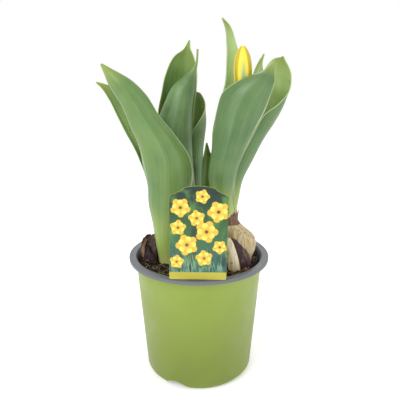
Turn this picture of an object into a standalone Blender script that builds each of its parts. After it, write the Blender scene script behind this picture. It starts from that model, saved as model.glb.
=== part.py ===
"""Potted tulip: three bulbs with leaves and one flower bud in a nursery pot, with a plain label.

Metres, +Z up. The pot stands on z = 0 with its axis on Z, and its front faces -Y.
"""

import math

import bmesh
import bpy
from mathutils import Vector

MM = 0.001
GAP = 0.3 * MM

POT_HEIGHT = 106.3 * MM
RIM_RADIUS = 60.0 * MM
RIM_INNER_RADIUS = 54.0 * MM
LIP_DEPTH = 3.0 * MM
BODY_TOP_RADIUS = 54.2 * MM
BODY_LOW_RADIUS = 46.6 * MM
BODY_LOW_Z = 5.3 * MM
FOOT_RADIUS = 42.9 * MM
FOOT_INNER_RADIUS = 38.0 * MM
POT_WALL = 1.8 * MM
POT_FLOOR_Z = 4.0 * MM
RECESS_Z = 1.5 * MM
RECESS_SLOPE = 1.5 * MM
FLOOR_CORNER = 4.0 * MM
FLOOR_CORNER_Z = BODY_LOW_Z + 2.0 * MM
RIM_EDGE = 0.8 * MM
RIM_FALL = 0.2 * MM
RIM_EDGE_DEPTH = 0.9 * MM
RIM_INNER_DEPTH = 0.6 * MM
LIP_THICKNESS = 1.4 * MM
LIP_SLOPE = 0.6 * MM
LIP_ROOM = 1.2 * MM
FOOT_EDGE = 1.2 * MM
FOOT_EDGE_Z = BODY_LOW_Z - 2.6 * MM
POT_STEPS = 48

DRAIN_COUNT = 3
DRAIN_FIRST = math.radians(-115.0)
DRAIN_RADIUS = 13.2 * MM
DRAIN_HEIGHT = 6.5 * MM
DRAIN_INNER = 35.2 * MM
DRAIN_OUTER = 52.0 * MM

SOIL_Z = 102.5 * MM
SOIL_RELIEF = 1.3 * MM
SOIL_RINGS = 7
SOIL_SIDE_GAP = GAP + 0.3 * MM
SOIL_EDGE_DROP = 1.5 * MM
SOIL_LOW_Z = BODY_LOW_Z + 3.0 * MM
SOIL_CORNER = 5.0 * MM

TAG_WIDTH = 43.3 * MM
TAG_THICKNESS = 0.8 * MM
TAG_X = -0.8 * MM
TAG_Y = -56.6 * MM
TAG_CARD_BOTTOM = 107.0 * MM
TAG_SHOULDER_Z = 173.6 * MM
TAG_TOP_Z = 180.3 * MM
TAG_CORNER = 1.0 * MM
TAG_STAKE_Y = -46.4 * MM
TAG_STAKE_WIDTH = 14.0 * MM
TAG_STAKE_RISE = 0.2 * MM
TAG_STAKE_BOTTOM = 62.0 * MM
TAG_LEAN = math.radians(0.9)

LEAF_THICKNESS = 0.9 * MM
SOCKET_FLOOR_Z = 95.7 * MM
NECK_SOCKET_Z = 141.7 * MM

# Where each shoot leaves the soil, or the right bulb's neck.
SHOOT_LEFT = (-26.5, -8.0)
SHOOT_BACK = (-8.0, 25.0)
SHOOT_SIDE = (8.0, 40.0)
SHOOT_RIGHT = (24.5, -15.0)

# A leaf is a run of cross-sections from its base to its tip, in millimetres. Each one gives its
# left margin, its keel and its right margin, and the blade follows the arc through the three.
LEAVES = {
    "leaf_left_front": (
        ((-32, -4, 96), (-26, -14.5, 96), (-21, -4, 96)),
        ((-33.5, -2, 112), (-27, -16.5, 112), (-19.5, -3, 112)),
        ((-37, -4, 138), (-27, -22, 138), (-14, -6, 138)),
        ((-41, -6, 156), (-25, -26, 157), (-9, -10, 157)),
        ((-42, -9, 171), (-24, -29, 178), (-5, -15, 176)),
        ((-45, -10, 185), (-24, -29, 193), (-7, -17, 193)),
        ((-47, -12, 202), (-30, -28, 209), (-19, -18, 212)),
        ((-53, -14, 218), (-39, -27, 223), (-31, -18, 227)),
        ((-61, -15, 236), (-49, -25, 239), (-40, -18, 242)),
        ((-68, -16, 248), (-58, -23, 251), (-51, -18, 253)),
        ((-71.5, -17, 258), (-68, -20, 260), (-65, -18, 261)),
        ((-73.5, -19, 264.5), (-72.8, -19.4, 264.8), (-72.2, -19, 265)),
    ),
    "leaf_left_back": (
        ((-30.5, -9, 96), (-26.5, -3.5, 96), (-22.5, -9, 96)),
        ((-31.5, -8, 112), (-27, -1, 112), (-22, -8, 112)),
        ((-34, -6, 138), (-27, 5, 138), (-17, -5, 138)),
        ((-40, -4, 160), (-31, 7, 160), (-21, -3, 160)),
        ((-47, -2, 183), (-39, 6, 187), (-30, 0, 191)),
        ((-52, -3, 197), (-43, 5, 201), (-33, -2, 207)),
        ((-58, -4, 209), (-50, 3, 213), (-40, -4, 220)),
        ((-65, -6, 225), (-58, 1, 228), (-49, -6, 233)),
        ((-71, -8, 239), (-66, -3, 242), (-59, -7, 244)),
        ((-76, -9, 247), (-74, -7, 248), (-71, -8, 249)),
        ((-79.8, -9, 250.6), (-79.4, -8.6, 251), (-79, -9, 251.4)),
    ),
    "leaf_back_tall": (
        ((-12, 24, 96), (-8, 29.5, 96), (-4, 24, 96)),
        ((-14, 26, 115), (-9, 32, 115), (-4, 25.5, 115)),
        ((-22, 28, 150), (-12, 36, 150), (-5, 28, 150)),
        ((-32, 28, 198), (-21, 38, 198), (-6, 28, 200)),
        ((-35, 27, 224), (-20, 39, 225), (-4, 30, 227)),
        ((-32, 27, 239), (-18, 38, 240), (-2, 31, 243)),
        ((-28, 28, 256), (-15, 37, 259), (-2, 32, 261)),
        ((-20, 30, 271), (-13, 35, 271), (-5, 33, 272)),
        ((-13, 32, 276), (-10, 34, 277), (-7, 33, 276)),
        ((-8.6, 34, 283), (-8, 34.4, 283.4), (-7.4, 34, 283)),
    ),
    "leaf_back_front": (
        ((-14.5, 26, 96), (-11, 19.2, 96), (-3.3, 20.3, 96)),
        ((-16.5, 26, 115), (-12, 16.5, 115), (-2.5, 18.5, 115)),
        ((-24, 24, 150), (-14, 10, 150), (-3, 17, 150)),
        ((-35, 20, 193), (-20, 6, 195), (-6, 17, 193)),
        ((-35, 20, 215), (-19, 6, 218), (-6, 17, 219)),
        ((-28, 20, 234), (-15, 8, 235), (-5, 18, 235)),
        ((-22, 20, 246), (-12, 11, 245), (-4, 20, 245)),
        ((-13, 20, 254), (-8, 15, 252), (-4, 21, 253)),
        ((-7, 21, 259), (-4.5, 19, 258), (-2, 22, 260)),
        ((-3.2, 22, 264), (-2, 21.4, 265), (-1, 22.4, 266)),
        ((-1.6, 24, 276), (-1, 23.6, 276), (-0.4, 24, 276)),
    ),
    "leaf_back_right": (
        ((-2, 22, 96), (-1.8, 27.5, 96), (-6.5, 31.6, 96)),
        ((-2.5, 21.5, 115), (0, 28, 115), (-6, 35, 115)),
        ((-5, 22, 140), (1.5, 27, 140), (-6, 37, 140)),
        ((-9, 22, 167), (1, 26, 165), (-8, 37, 166)),
        ((-9, 23, 192), (2, 27, 190), (-7, 38, 191)),
        ((-6, 22, 208), (4, 27, 209), (-6, 39, 214)),
        ((0, 22, 217), (5, 28, 222), (-5, 38, 235)),
        ((3, 23, 222), (5.4, 29, 229), (-4, 37, 241)),
        ((5, 26, 226), (5.4, 30, 231), (1, 35, 240)),
    ),
    "leaf_side_shoot": (
        ((4, 38, 96), (8, 43, 96), (12, 38, 96)),
        ((1, 38, 125), (7, 44, 125), (13, 38, 125)),
        ((-1, 38, 159), (6, 44, 158), (14, 38, 162)),
        ((2, 40, 175), (7, 45, 175), (13, 40, 180)),
        ((5, 42, 187), (7, 45, 187), (10, 42, 187)),
        ((6.4, 44, 195), (7, 44.4, 195), (7.6, 44, 195)),
    ),
    "leaf_right_front": (
        ((18.4, -14, 142), (23.4, -21.1, 142), (30.6, -16.3, 142)),
        ((13, -18, 160), (18, -28, 161), (27, -20, 160)),
        ((8, -22, 176), (17, -33, 179), (28, -23, 176)),
        ((10, -22, 200), (21, -34, 202), (35, -25, 200)),
        ((12, -22, 218), (25, -34, 218), (42, -26, 216)),
        ((14, -21, 232), (30, -33, 233), (50, -26, 232)),
        ((18, -20, 244), (35, -33, 244), (54, -26, 244)),
        ((27, -23.5, 251), (41, -32, 251), (56, -26, 253)),
        ((37, -24, 256), (47, -30, 256), (56, -24, 258)),
        ((48, -21, 260), (52, -25, 260), (56, -22, 261)),
        ((56.4, -20, 266), (57, -20.6, 266.3), (57.6, -20, 266)),
    ),
    "leaf_right_side": (
        ((30.7, -14.5, 142), (29.3, -10.9, 142), (25, -8.8, 142)),
        ((27.8, -17.4, 158), (32, -10, 156), (28, -4, 156)),
        ((28.6, -18.6, 176), (35.5, -10, 174), (32, -2, 176)),
        ((32.6, -19, 192), (43, -10, 190), (36, 1, 196)),
        ((41.5, -18.4, 213), (51, -11, 207), (41, 3, 217)),
        ((50, -18, 226), (59, -12, 222), (45, 5, 239)),
        ((62, -19, 236), (67, -11, 237), (49, 6, 253)),
        ((69, -18, 246), (68, -8, 250), (54, 5, 263)),
        ((70, -16, 257), (66, -7, 262), (58, 2, 268)),
        ((65.4, -6.4, 269.6), (65, -6, 270.2), (64.4, -5.6, 270)),
    ),
    "leaf_right_back": (
        ((26.6, -18.7, 142), (28.8, -15.5, 142), (27.5, -12, 142)),
        ((27.6, -15.5, 152), (29.2, -12, 152), (27.4, -8.5, 152)),
        ((27.4, -10, 165), (29.2, -6.6, 165), (27, -3, 165)),
        ((29, -5, 190), (32.5, 1, 190), (33, 5, 190)),
        ((33, 0, 214), (38, 6, 215), (42, 7, 216)),
        ((38, 4, 236), (44, 9, 238), (49, 8, 240)),
        ((42, 6, 252), (47, 10, 253), (52, 8, 256)),
        ((46, 8, 263), (48, 10, 264), (51, 9, 265)),
        ((51.6, 10, 272), (52, 10.4, 272.2), (52.6, 10, 272)),
    ),
    "leaf_right_tall": (
        ((20.3, -13.9, 142), (22.3, -11.3, 142), (25.5, -10.8, 142)),
        ((14, -10, 165), (19, -3, 165), (26, -5, 165)),
        ((11, -6, 191), (19, 2, 191), (27, -4, 192)),
        ((11, -5, 211), (20, 4, 212), (29, -2, 213)),
        ((15, -4, 231), (24, 6, 231), (33, 0, 232)),
        ((21, -3, 249), (27, 6, 249), (35, 1, 249)),
        ((22, -2, 267), (28, 5, 267), (33, 1, 267)),
        ((22, -2, 281), (25, 3, 282), (29, 1, 280)),
        ((20, -2, 293), (22, 1, 293), (24, 0, 293)),
        ((17.4, -2, 298), (18, -1.6, 298.4), (18.6, -2, 298)),
    ),
}
LEAF_LENGTHWISE = 20
LEAF_ACROSS = 8
WAVE_HEIGHT = 0.9
WAVES = 2.6

# Stem centre lines, in millimetres from the socket upwards, and the radius of each.
STEMS = {
    "stem_right": (2.4, ((24.5, -15, 142), (26, -14, 180), (31, -15, 225), (33.7, -15, 241.2))),
    "stem_left": (2.6, ((-26.5, -8, 96), (-26, -8, 130), (-26, -9, 163.7))),
    "stem_back": (2.6, ((-8, 25, 96), (-9.5, 25, 140), (-16, 22.5, 171.4))),
}

# A bud: where its base stands, its length and greatest radius in millimetres, and its lean.
BUDS = {
    "bud_right": ((33.9, -15, 241.7), 36.5, 6.9, -1.5),
    "bud_left": ((-26, -9, 164), 26.0, 5.0, -4.0),
    "bud_back": ((-16.2, 22.5, 172), 28.0, 5.2, -8.0),
}
BUD_AROUND = 24
BUD_LOBES = 3
BUD_LOBE_SHARE = 0.07
BUD_PHASE = 1.75

BULB_LEFT_CENTRE = (-37.0, -2.0, 102.0)
BULB_LEFT_RADII = (13.4, 12.6, 22.0)
BULB_LEFT_FLAT = 96.0

# The right bulb from its foot to its neck, in millimetres: its middle at each height, and
# its radius there.
BULB_RIGHT = (
    ((34.0, -13.0, 96.0), 8.6),
    ((34.2, -13.0, 103.0), 9.3),
    ((34.6, -13.0, 109.0), 10.4),
    ((35.2, -13.0, 115.0), 12.0),
    ((35.3, -13.2, 121.0), 12.8),
    ((34.2, -13.6, 126.0), 12.4),
    ((32.0, -14.0, 130.0), 11.3),
    ((29.0, -14.6, 134.0), 9.5),
    ((26.2, -15.0, 138.0), 7.9),
    ((24.8, -15.0, 141.0), 7.2),
    ((24.4, -15.0, 145.0), 7.2),
)
CLOVE_PURPLE = (34.0, -23.2, 104.0)
CLOVE_PURPLE_RADII = (9.8, 5.6, 25.5)
CLOVE_PURPLE_LEAN = -13.0
CLOVE_CREAM = (28.0, -31.4, 108.0)
CLOVE_CREAM_RADII = (5.0, 3.2, 24.0)
CLOVE_CREAM_LEAN = -11.0
CLOVE_FLAT = 96.0

# The plain upright holes in the soil: middle and radius in millimetres.
SOIL_SOCKETS = {
    "socket_left": (*SHOOT_LEFT, 8.6),
    "socket_left_bulb": (*BULB_LEFT_CENTRE[:2], 14.2),
    "socket_back": (*SHOOT_BACK, 9.0),
    "socket_side": (*SHOOT_SIDE, 6.4),
    "socket_right": (*BULB_RIGHT[0][0][:2], 10.4),
    "socket_purple": (CLOVE_PURPLE[0] + 1.0, CLOVE_PURPLE[1], 11.2),
    "socket_cream": (CLOVE_CREAM[0] + 1.5, CLOVE_CREAM[1], 5.8),
}

# The hole in the right bulb's neck, wider at its top, and the room for the left shoot.
NECK_SOCKET_RADIUS = 6.7
NECK_SOCKET_TOP_RADIUS = 9.6
NECK_SOCKET_DEPTH = 8.0
SHOOT_ROOM_RADIUS = 10.6

COLOURS = {
    "pot_green": (0.37, 0.46, 0.09, 1.0),
    "soil": (0.025, 0.018, 0.012, 1.0),
    "label": (0.57, 0.52, 0.09, 1.0),
    "leaf": (0.19, 0.33, 0.14, 1.0),
    "stem": (0.30, 0.42, 0.16, 1.0),
    "bud_yellow": (0.90, 0.78, 0.10, 1.0),
    "bud_green": (0.36, 0.47, 0.13, 1.0),
    "bulb_skin": (0.06, 0.03, 0.028, 1.0),
    "clove": (0.72, 0.60, 0.38, 1.0),
}


def clear_scene():
    for obj in list(bpy.data.objects):
        bpy.data.objects.remove(obj, do_unlink=True)


def make_collection(name):
    collection = bpy.data.collections.new(name)
    bpy.context.scene.collection.children.link(collection)
    return collection


def make_material(name, roughness, metallic=0.0):
    material = bpy.data.materials.new(name)
    material.use_nodes = True
    shader = material.node_tree.nodes["Principled BSDF"]
    shader.inputs["Base Color"].default_value = COLOURS[name]
    shader.inputs["Roughness"].default_value = roughness
    shader.inputs["Metallic"].default_value = metallic
    return material


def place(obj, collection, material=None):
    for holder in list(obj.users_collection):
        holder.objects.unlink(obj)
    collection.objects.link(obj)
    if material is not None:
        obj.data.materials.append(material)
    return obj


def smooth(mesh, angle=math.radians(35)):
    mesh.shade_smooth()
    mesh.set_sharp_from_angle(angle=angle)


def object_from_bmesh(name, mesh_data, collection, material=None):
    bmesh.ops.recalc_face_normals(mesh_data, faces=mesh_data.faces)
    mesh = bpy.data.meshes.new(name)
    mesh_data.to_mesh(mesh)
    mesh_data.free()
    smooth(mesh)
    return place(bpy.data.objects.new(name, mesh), collection, material)


def evaluated_copy(source, name, collection, material=None):
    """A plain mesh object with the shape that the source has after its modifiers."""
    graph = bpy.context.evaluated_depsgraph_get()
    mesh = bpy.data.meshes.new_from_object(source.evaluated_get(graph))
    matrix = source.matrix_world.copy()
    bpy.data.objects.remove(source, do_unlink=True)
    copy = bpy.data.objects.new(name, mesh)
    copy.matrix_world = matrix
    return place(copy, collection, material)


def turned(name, profile, collection, material=None, steps=POT_STEPS):
    """A profile of (radius, height) points, from the top of the outside down, turned about Z."""
    mesh = bpy.data.meshes.new(name)
    points = [(radius, 0.0, height) for radius, height in profile]
    edges = [(i, i + 1) for i in range(len(points) - 1)]
    mesh.from_pydata(points, edges, [])
    obj = place(bpy.data.objects.new(name, mesh), collection, material)
    screw = obj.modifiers.new("turn", "SCREW")
    screw.steps = steps
    screw.render_steps = steps
    screw.use_merge_vertices = True
    screw.merge_threshold = 0.00001
    screw.use_smooth_shade = True
    return obj


def cut(obj, cutter, solver="EXACT"):
    modifier = obj.modifiers.new(cutter.name, "BOOLEAN")
    modifier.object = cutter
    modifier.operation = "DIFFERENCE"
    modifier.solver = solver


def hide_cutter(obj):
    obj.hide_render = True
    obj.display_type = "WIRE"
    return obj


def cylinder_cutter(name, centre, radius, low_z, high_z, collection, segments=32, flare=None):
    """A vertical cylinder, or a cone that flares to a larger radius at its top."""
    bm = bmesh.new()
    bmesh.ops.create_cone(
        bm,
        cap_ends=True,
        segments=segments,
        radius1=radius,
        radius2=flare or radius,
        depth=high_z - low_z,
    )
    cutter = object_from_bmesh(name, bm, collection)
    cutter.location = (centre[0], centre[1], (low_z + high_z) / 2)
    return hide_cutter(cutter)


def box_cutter(name, centre, size, collection):
    bm = bmesh.new()
    bmesh.ops.create_cube(bm, size=1.0)
    bmesh.ops.scale(bm, vec=size, verts=bm.verts)
    cutter = object_from_bmesh(name, bm, collection)
    cutter.location = centre
    return hide_cutter(cutter)


def pot_inner_radius(z):
    """The radius of the pot's inner wall at a height."""
    share = (z - BODY_LOW_Z) / (POT_HEIGHT - LIP_DEPTH - BODY_LOW_Z)
    outer = BODY_LOW_RADIUS + share * (BODY_TOP_RADIUS - BODY_LOW_RADIUS)
    return outer - POT_WALL


def build_pot(collection, cutters, material):
    under_lip = POT_HEIGHT - LIP_DEPTH
    lip_inner = RIM_RADIUS - LIP_THICKNESS
    profile = (
        (0.0, POT_FLOOR_Z),
        (pot_inner_radius(FLOOR_CORNER_Z) - FLOOR_CORNER, POT_FLOOR_Z),
        (pot_inner_radius(FLOOR_CORNER_Z), FLOOR_CORNER_Z),
        (pot_inner_radius(under_lip), under_lip),
        (RIM_INNER_RADIUS, POT_HEIGHT - RIM_INNER_DEPTH),
        (RIM_INNER_RADIUS + RIM_EDGE, POT_HEIGHT),
        (RIM_RADIUS - RIM_EDGE, POT_HEIGHT - RIM_FALL),
        (RIM_RADIUS, POT_HEIGHT - RIM_EDGE_DEPTH),
        (RIM_RADIUS, under_lip),
        (lip_inner, under_lip),
        (lip_inner - LIP_SLOPE, under_lip + LIP_ROOM),
        (BODY_TOP_RADIUS + RIM_EDGE, under_lip + LIP_ROOM),
        (BODY_TOP_RADIUS, under_lip),
        (BODY_LOW_RADIUS, BODY_LOW_Z),
        (BODY_LOW_RADIUS - FOOT_EDGE, FOOT_EDGE_Z),
        (FOOT_RADIUS, 0.0),
        (FOOT_INNER_RADIUS, 0.0),
        (FOOT_INNER_RADIUS - RECESS_SLOPE, RECESS_Z),
        (0.0, RECESS_Z),
    )
    pot = turned("pot", tuple(reversed(profile)), cutters)
    pot = evaluated_copy(pot, "pot", collection, material)
    bm = bmesh.new()
    bm.from_mesh(pot.data)
    bmesh.ops.recalc_face_normals(bm, faces=bm.faces)
    bm.to_mesh(pot.data)
    bm.free()
    smooth(pot.data)
    for index in range(DRAIN_COUNT):
        turn = DRAIN_FIRST + index * 2 * math.pi / DRAIN_COUNT
        name = f"drain_{index + 1}"
        arch = cylinder_cutter(name, (0.0, 0.0), DRAIN_RADIUS, DRAIN_INNER, DRAIN_OUTER, cutters)
        reach = (DRAIN_INNER + DRAIN_OUTER) / 2
        middle_z = DRAIN_HEIGHT - DRAIN_RADIUS
        arch.location = (reach * math.cos(turn), reach * math.sin(turn), middle_z)
        arch.rotation_euler = (0.0, math.radians(90), turn)
        cut(pot, arch)
    return pot


def soil_relief(x, y):
    """A low uneven surface, from a few crossed waves."""
    waves = math.sin(210 * x + 1.1) * math.cos(190 * y - 0.4)
    waves += 0.6 * math.sin(420 * x - 260 * y + 2.0)
    return SOIL_RELIEF * waves / 1.6


def build_soil(collection, cutters, material):
    """The soil fills the pot, with plain holes for the bulbs and shoots and a slot for the label."""
    edge = pot_inner_radius(SOIL_Z - 2 * SOIL_EDGE_DROP) - SOIL_SIDE_GAP
    bottom = pot_inner_radius(SOIL_LOW_Z) - SOIL_SIDE_GAP
    floor_z = POT_FLOOR_Z + GAP
    rings = [(edge * i / SOIL_RINGS, SOIL_Z) for i in range(SOIL_RINGS)]
    sides = [(edge, SOIL_Z - SOIL_EDGE_DROP), (bottom, SOIL_LOW_Z)]
    foot = [(bottom - SOIL_CORNER, floor_z), (0.0, floor_z)]
    soil = turned("soil", tuple(reversed(rings + sides + foot)), cutters)
    soil = evaluated_copy(soil, "soil", collection, material)
    bm = bmesh.new()
    bm.from_mesh(soil.data)
    bmesh.ops.recalc_face_normals(bm, faces=bm.faces)
    for vertex in bm.verts:
        if vertex.co.z > SOIL_Z - 0.5 * MM:
            vertex.co.z += soil_relief(vertex.co.x, vertex.co.y)
    bm.to_mesh(soil.data)
    bm.free()
    smooth(soil.data)
    top = SOIL_Z + 10 * MM
    for name, (x, y, radius) in SOIL_SOCKETS.items():
        centre = (x * MM, y * MM)
        cutter = cylinder_cutter(name, centre, radius * MM, SOCKET_FLOOR_Z, top, cutters)
        cut(soil, cutter, "MANIFOLD")
    slot = box_cutter(
        "label_slot",
        (TAG_X, TAG_STAKE_Y, (TAG_STAKE_BOTTOM - GAP + top) / 2),
        (TAG_STAKE_WIDTH + 3 * MM, TAG_THICKNESS + 2 * GAP, top - TAG_STAKE_BOTTOM + GAP),
        cutters,
    )
    cut(soil, slot, "MANIFOLD")
    return soil


def build_label(collection, cutters, material):
    """A plain card with sloping shoulders and an arched top.

    The card stands over the pot's rim, and a tongue at its foot bends back across the rim and down
    into the soil as the stake.
    """
    half = TAG_WIDTH / 2
    outline = [
        (half - TAG_CORNER, TAG_CARD_BOTTOM),
        (half, TAG_CARD_BOTTOM + TAG_CORNER),
        (half, TAG_SHOULDER_Z - 1.5 * MM),
        (half - 1.0 * MM, TAG_SHOULDER_Z - 0.4 * MM),
    ]
    arch_half = half - 9 * MM
    arch_start = TAG_SHOULDER_Z + 3.6 * MM
    arch_steps = 8
    for step in range(arch_steps + 1):
        turn = math.pi * step / arch_steps
        rise = (TAG_TOP_Z - arch_start) * math.sin(turn)
        outline.append((arch_half * math.cos(turn), arch_start + rise))
    outline += [(-x, z) for x, z in reversed(outline[:4])]
    curve = bpy.data.curves.new("label", "CURVE")
    curve.dimensions = "2D"
    curve.fill_mode = "BOTH"
    curve.extrude = TAG_THICKNESS / 2
    spline = curve.splines.new("POLY")
    spline.points.add(len(outline) - 1)
    for point, (x, z) in zip(spline.points, outline):
        point.co = (x, z - TAG_CARD_BOTTOM, 0.0, 1.0)
    spline.use_cyclic_u = True
    card = place(bpy.data.objects.new("card", curve), cutters)
    card.rotation_euler = (math.radians(90), TAG_LEAN, 0.0)
    card.location = (TAG_X, TAG_Y, TAG_CARD_BOTTOM)
    bpy.context.view_layer.update()
    label = evaluated_copy(card, "label", collection, material)

    tongue_low = TAG_CARD_BOTTOM + TAG_STAKE_RISE
    tongue_top = tongue_low + TAG_THICKNESS
    stake_front = TAG_STAKE_Y - TAG_THICKNESS / 2
    stake_back = TAG_STAKE_Y + TAG_THICKNESS / 2
    side = (
        (TAG_Y, tongue_low),
        (stake_front, tongue_low),
        (stake_front, TAG_STAKE_BOTTOM),
        (stake_back, TAG_STAKE_BOTTOM),
        (stake_back, tongue_top),
        (TAG_Y, tongue_top),
    )
    bm = bmesh.new()
    left = TAG_X - TAG_STAKE_WIDTH / 2
    face = bm.faces.new([bm.verts.new((left, y, z)) for y, z in side])
    grown = bmesh.ops.extrude_face_region(bm, geom=[face])
    moved = [item for item in grown["geom"] if isinstance(item, bmesh.types.BMVert)]
    bmesh.ops.translate(bm, vec=(TAG_STAKE_WIDTH, 0.0, 0.0), verts=moved)
    stake = hide_cutter(object_from_bmesh("stake", bm, cutters))
    union = label.modifiers.new("stake", "BOOLEAN")
    union.object = stake
    union.operation = "UNION"
    union.solver = "EXACT"
    return label


def smooth_run(points, share):
    """The point at a share of the way along a smooth run through the given points."""
    spans = [(b - a).length for a, b in zip(points, points[1:])]
    target = share * sum(spans)
    index = 0
    while index < len(spans) - 1 and target > spans[index]:
        target -= spans[index]
        index += 1
    t = min(1.0, target / spans[index])
    p1, p2 = points[index], points[index + 1]
    p0 = points[index - 1] if index else p1 * 2 - p2
    p3 = points[index + 2] if index + 2 < len(points) else p2 * 2 - p1
    span = spans[index]
    before = (p1 - p0).length
    after = (p3 - p2).length
    slope1 = (p2 - p1) / span - (p2 - p0) / (span + before) + (p1 - p0) / before
    slope2 = (p3 - p2) / after - (p3 - p1) / (after + span) + (p2 - p1) / span
    slope1 *= span
    slope2 *= span
    return (
        p1 * (2 * t**3 - 3 * t**2 + 1)
        + slope1 * (t**3 - 2 * t**2 + t)
        + p2 * (3 * t**2 - 2 * t**3)
        + slope2 * (t**3 - t**2)
    )


def arc_point(left, keel, right, share):
    """A point on the circular arc from left through keel to right, with the keel at share 0.5."""
    chord_a = keel - left
    chord_b = right - left
    normal = chord_a.cross(chord_b)
    if normal.length < 1e-3 * chord_a.length * chord_b.length:
        if share < 0.5:
            return left.lerp(keel, 2 * share)
        return keel.lerp(right, 2 * share - 1)
    to_centre = chord_b.length_squared * normal.cross(chord_a)
    to_centre += chord_a.length_squared * chord_b.cross(normal)
    centre = left + to_centre / (2 * normal.length_squared)
    normal.normalize()
    x_axis = (left - centre).normalized()
    y_axis = normal.cross(x_axis)
    radius = (left - centre).length

    def turn_of(point):
        offset = point - centre
        return math.atan2(offset.dot(y_axis), offset.dot(x_axis)) % (2 * math.pi)

    keel_turn = turn_of(keel)
    right_turn = turn_of(right)
    if share < 0.5:
        turn = keel_turn * 2 * share
    else:
        turn = keel_turn + (right_turn - keel_turn) * (2 * share - 1)
    return centre + radius * (x_axis * math.cos(turn) + y_axis * math.sin(turn))


def leaf_point(rows, along, across):
    """A point of the blade, in millimetres."""
    left, keel, right = (
        smooth_run([Vector(row[column]) for row in rows], along) for column in range(3)
    )
    outward = (keel - (left + right) / 2).normalized()
    height = WAVE_HEIGHT * math.sin(math.pi * along) ** 2
    left += outward * height * math.sin(2 * math.pi * WAVES * along)
    right += outward * height * math.cos(2 * math.pi * WAVES * along)
    return arc_point(left, keel, right, across)


def build_leaf(name, rows, collection, material):
    bm = bmesh.new()
    bmesh.ops.create_grid(bm, x_segments=LEAF_LENGTHWISE, y_segments=LEAF_ACROSS, size=0.5)
    for vertex in bm.verts:
        point = leaf_point(rows, vertex.co.x + 0.5, vertex.co.y + 0.5)
        vertex.co = point * MM
    bmesh.ops.triangulate(bm, faces=bm.faces)
    leaf = object_from_bmesh(name, bm, collection, material)
    blade = leaf.modifiers.new("blade", "SOLIDIFY")
    blade.thickness = LEAF_THICKNESS
    blade.offset = 0.0
    return leaf


def build_stem(name, radius, points, collection, material):
    curve = bpy.data.curves.new(name, "CURVE")
    curve.dimensions = "3D"
    curve.bevel_depth = radius * MM
    curve.bevel_resolution = 2
    curve.use_fill_caps = True
    run = [Vector(point) for point in points]
    count = 10
    spline = curve.splines.new("POLY")
    spline.points.add(count - 1)
    for index, point in enumerate(spline.points):
        point.co = (*(smooth_run(run, index / (count - 1)) * MM), 1.0)
    return place(bpy.data.objects.new(name, curve), collection, material)


def bud_radius(share, greatest):
    """The radius at a share of the bud's height: full below the middle, drawn to a blunt point."""
    swell = math.sin(math.pi * min(1.0, share * 0.86 + 0.14) ** 1.25)
    return greatest * max(0.0, swell) ** 0.62


def build_bud(name, foot, length, greatest, lean, collection, material):
    """A closed bud: a turned form whose outer petals stand out as three lobes over three others."""
    levels = 12
    profile = []
    for step in range(levels + 1):
        share = 1.0 - step / levels
        radius = bud_radius(share, greatest)
        profile.append((0.0 if step == 0 else radius * MM, share * length * MM))
    profile.append((0.0, 0.0))
    source = turned(name, tuple(profile), collection, None, BUD_AROUND)
    bud = evaluated_copy(source, name, collection, material)
    for vertex in bud.data.vertices:
        turn = math.atan2(vertex.co.y, vertex.co.x)
        lobes = abs(math.cos(BUD_LOBES * turn / 2 + BUD_PHASE)) ** 0.5 - 0.7
        scale = 1.0 + BUD_LOBE_SHARE * lobes
        vertex.co.x *= scale
        vertex.co.y *= scale
    smooth(bud.data)
    bud.location = Vector(foot) * MM
    bud.rotation_euler = (0.0, math.radians(lean), 0.0)
    return bud


def ellipsoid(name, centre, radii, turn, flat_z, collection, cutters, material):
    """An ovoid, turned about its own middle and cut flat at the height it stands on."""
    bm = bmesh.new()
    bmesh.ops.create_uvsphere(bm, u_segments=24, v_segments=14, radius=1.0)
    bmesh.ops.scale(bm, vec=[radius * MM for radius in radii], verts=bm.verts)
    obj = object_from_bmesh(name, bm, collection, material)
    obj.location = Vector(centre) * MM
    obj.rotation_euler = turn
    size = 80 * MM
    under = box_cutter(
        f"{name}_under",
        (centre[0] * MM, centre[1] * MM, flat_z * MM - size / 2),
        (size, size, size),
        cutters,
    )
    cut(obj, under)
    return obj


def bulb_right_body(name, grow, collection, material=None):
    """The right bulb's body, which bends over to its neck, larger all round by a chosen amount."""
    foot_z = BULB_RIGHT[0][0][2]
    profile = [(0.0, BULB_RIGHT[-1][0][2] * MM)]
    profile += [(radius * MM + grow, middle[2] * MM) for middle, radius in reversed(BULB_RIGHT)]
    profile += [(0.0, foot_z * MM)]
    source = turned(name, tuple(profile), collection, None, 28)
    body = evaluated_copy(source, name, collection, material)
    middles = {round(middle[2]): Vector(middle) * MM for middle, radius in BULB_RIGHT}
    for vertex in body.data.vertices:
        middle = middles[round(vertex.co.z / MM)]
        vertex.co.x += middle.x
        vertex.co.y += middle.y
    smooth(body.data)
    return body


def build_bulb_right(collection, cutters, material):
    """The neck of the right bulb holds the shoot in a plain upright socket."""
    bulb = bulb_right_body("bulb_right", 0.0, collection, material)
    centre = (SHOOT_RIGHT[0] * MM, SHOOT_RIGHT[1] * MM)
    socket = cylinder_cutter(
        "neck_socket",
        centre,
        NECK_SOCKET_RADIUS * MM,
        NECK_SOCKET_Z,
        NECK_SOCKET_Z + NECK_SOCKET_DEPTH * MM,
        cutters,
        flare=NECK_SOCKET_TOP_RADIUS * MM,
    )
    cut(bulb, socket)
    return bulb


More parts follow.
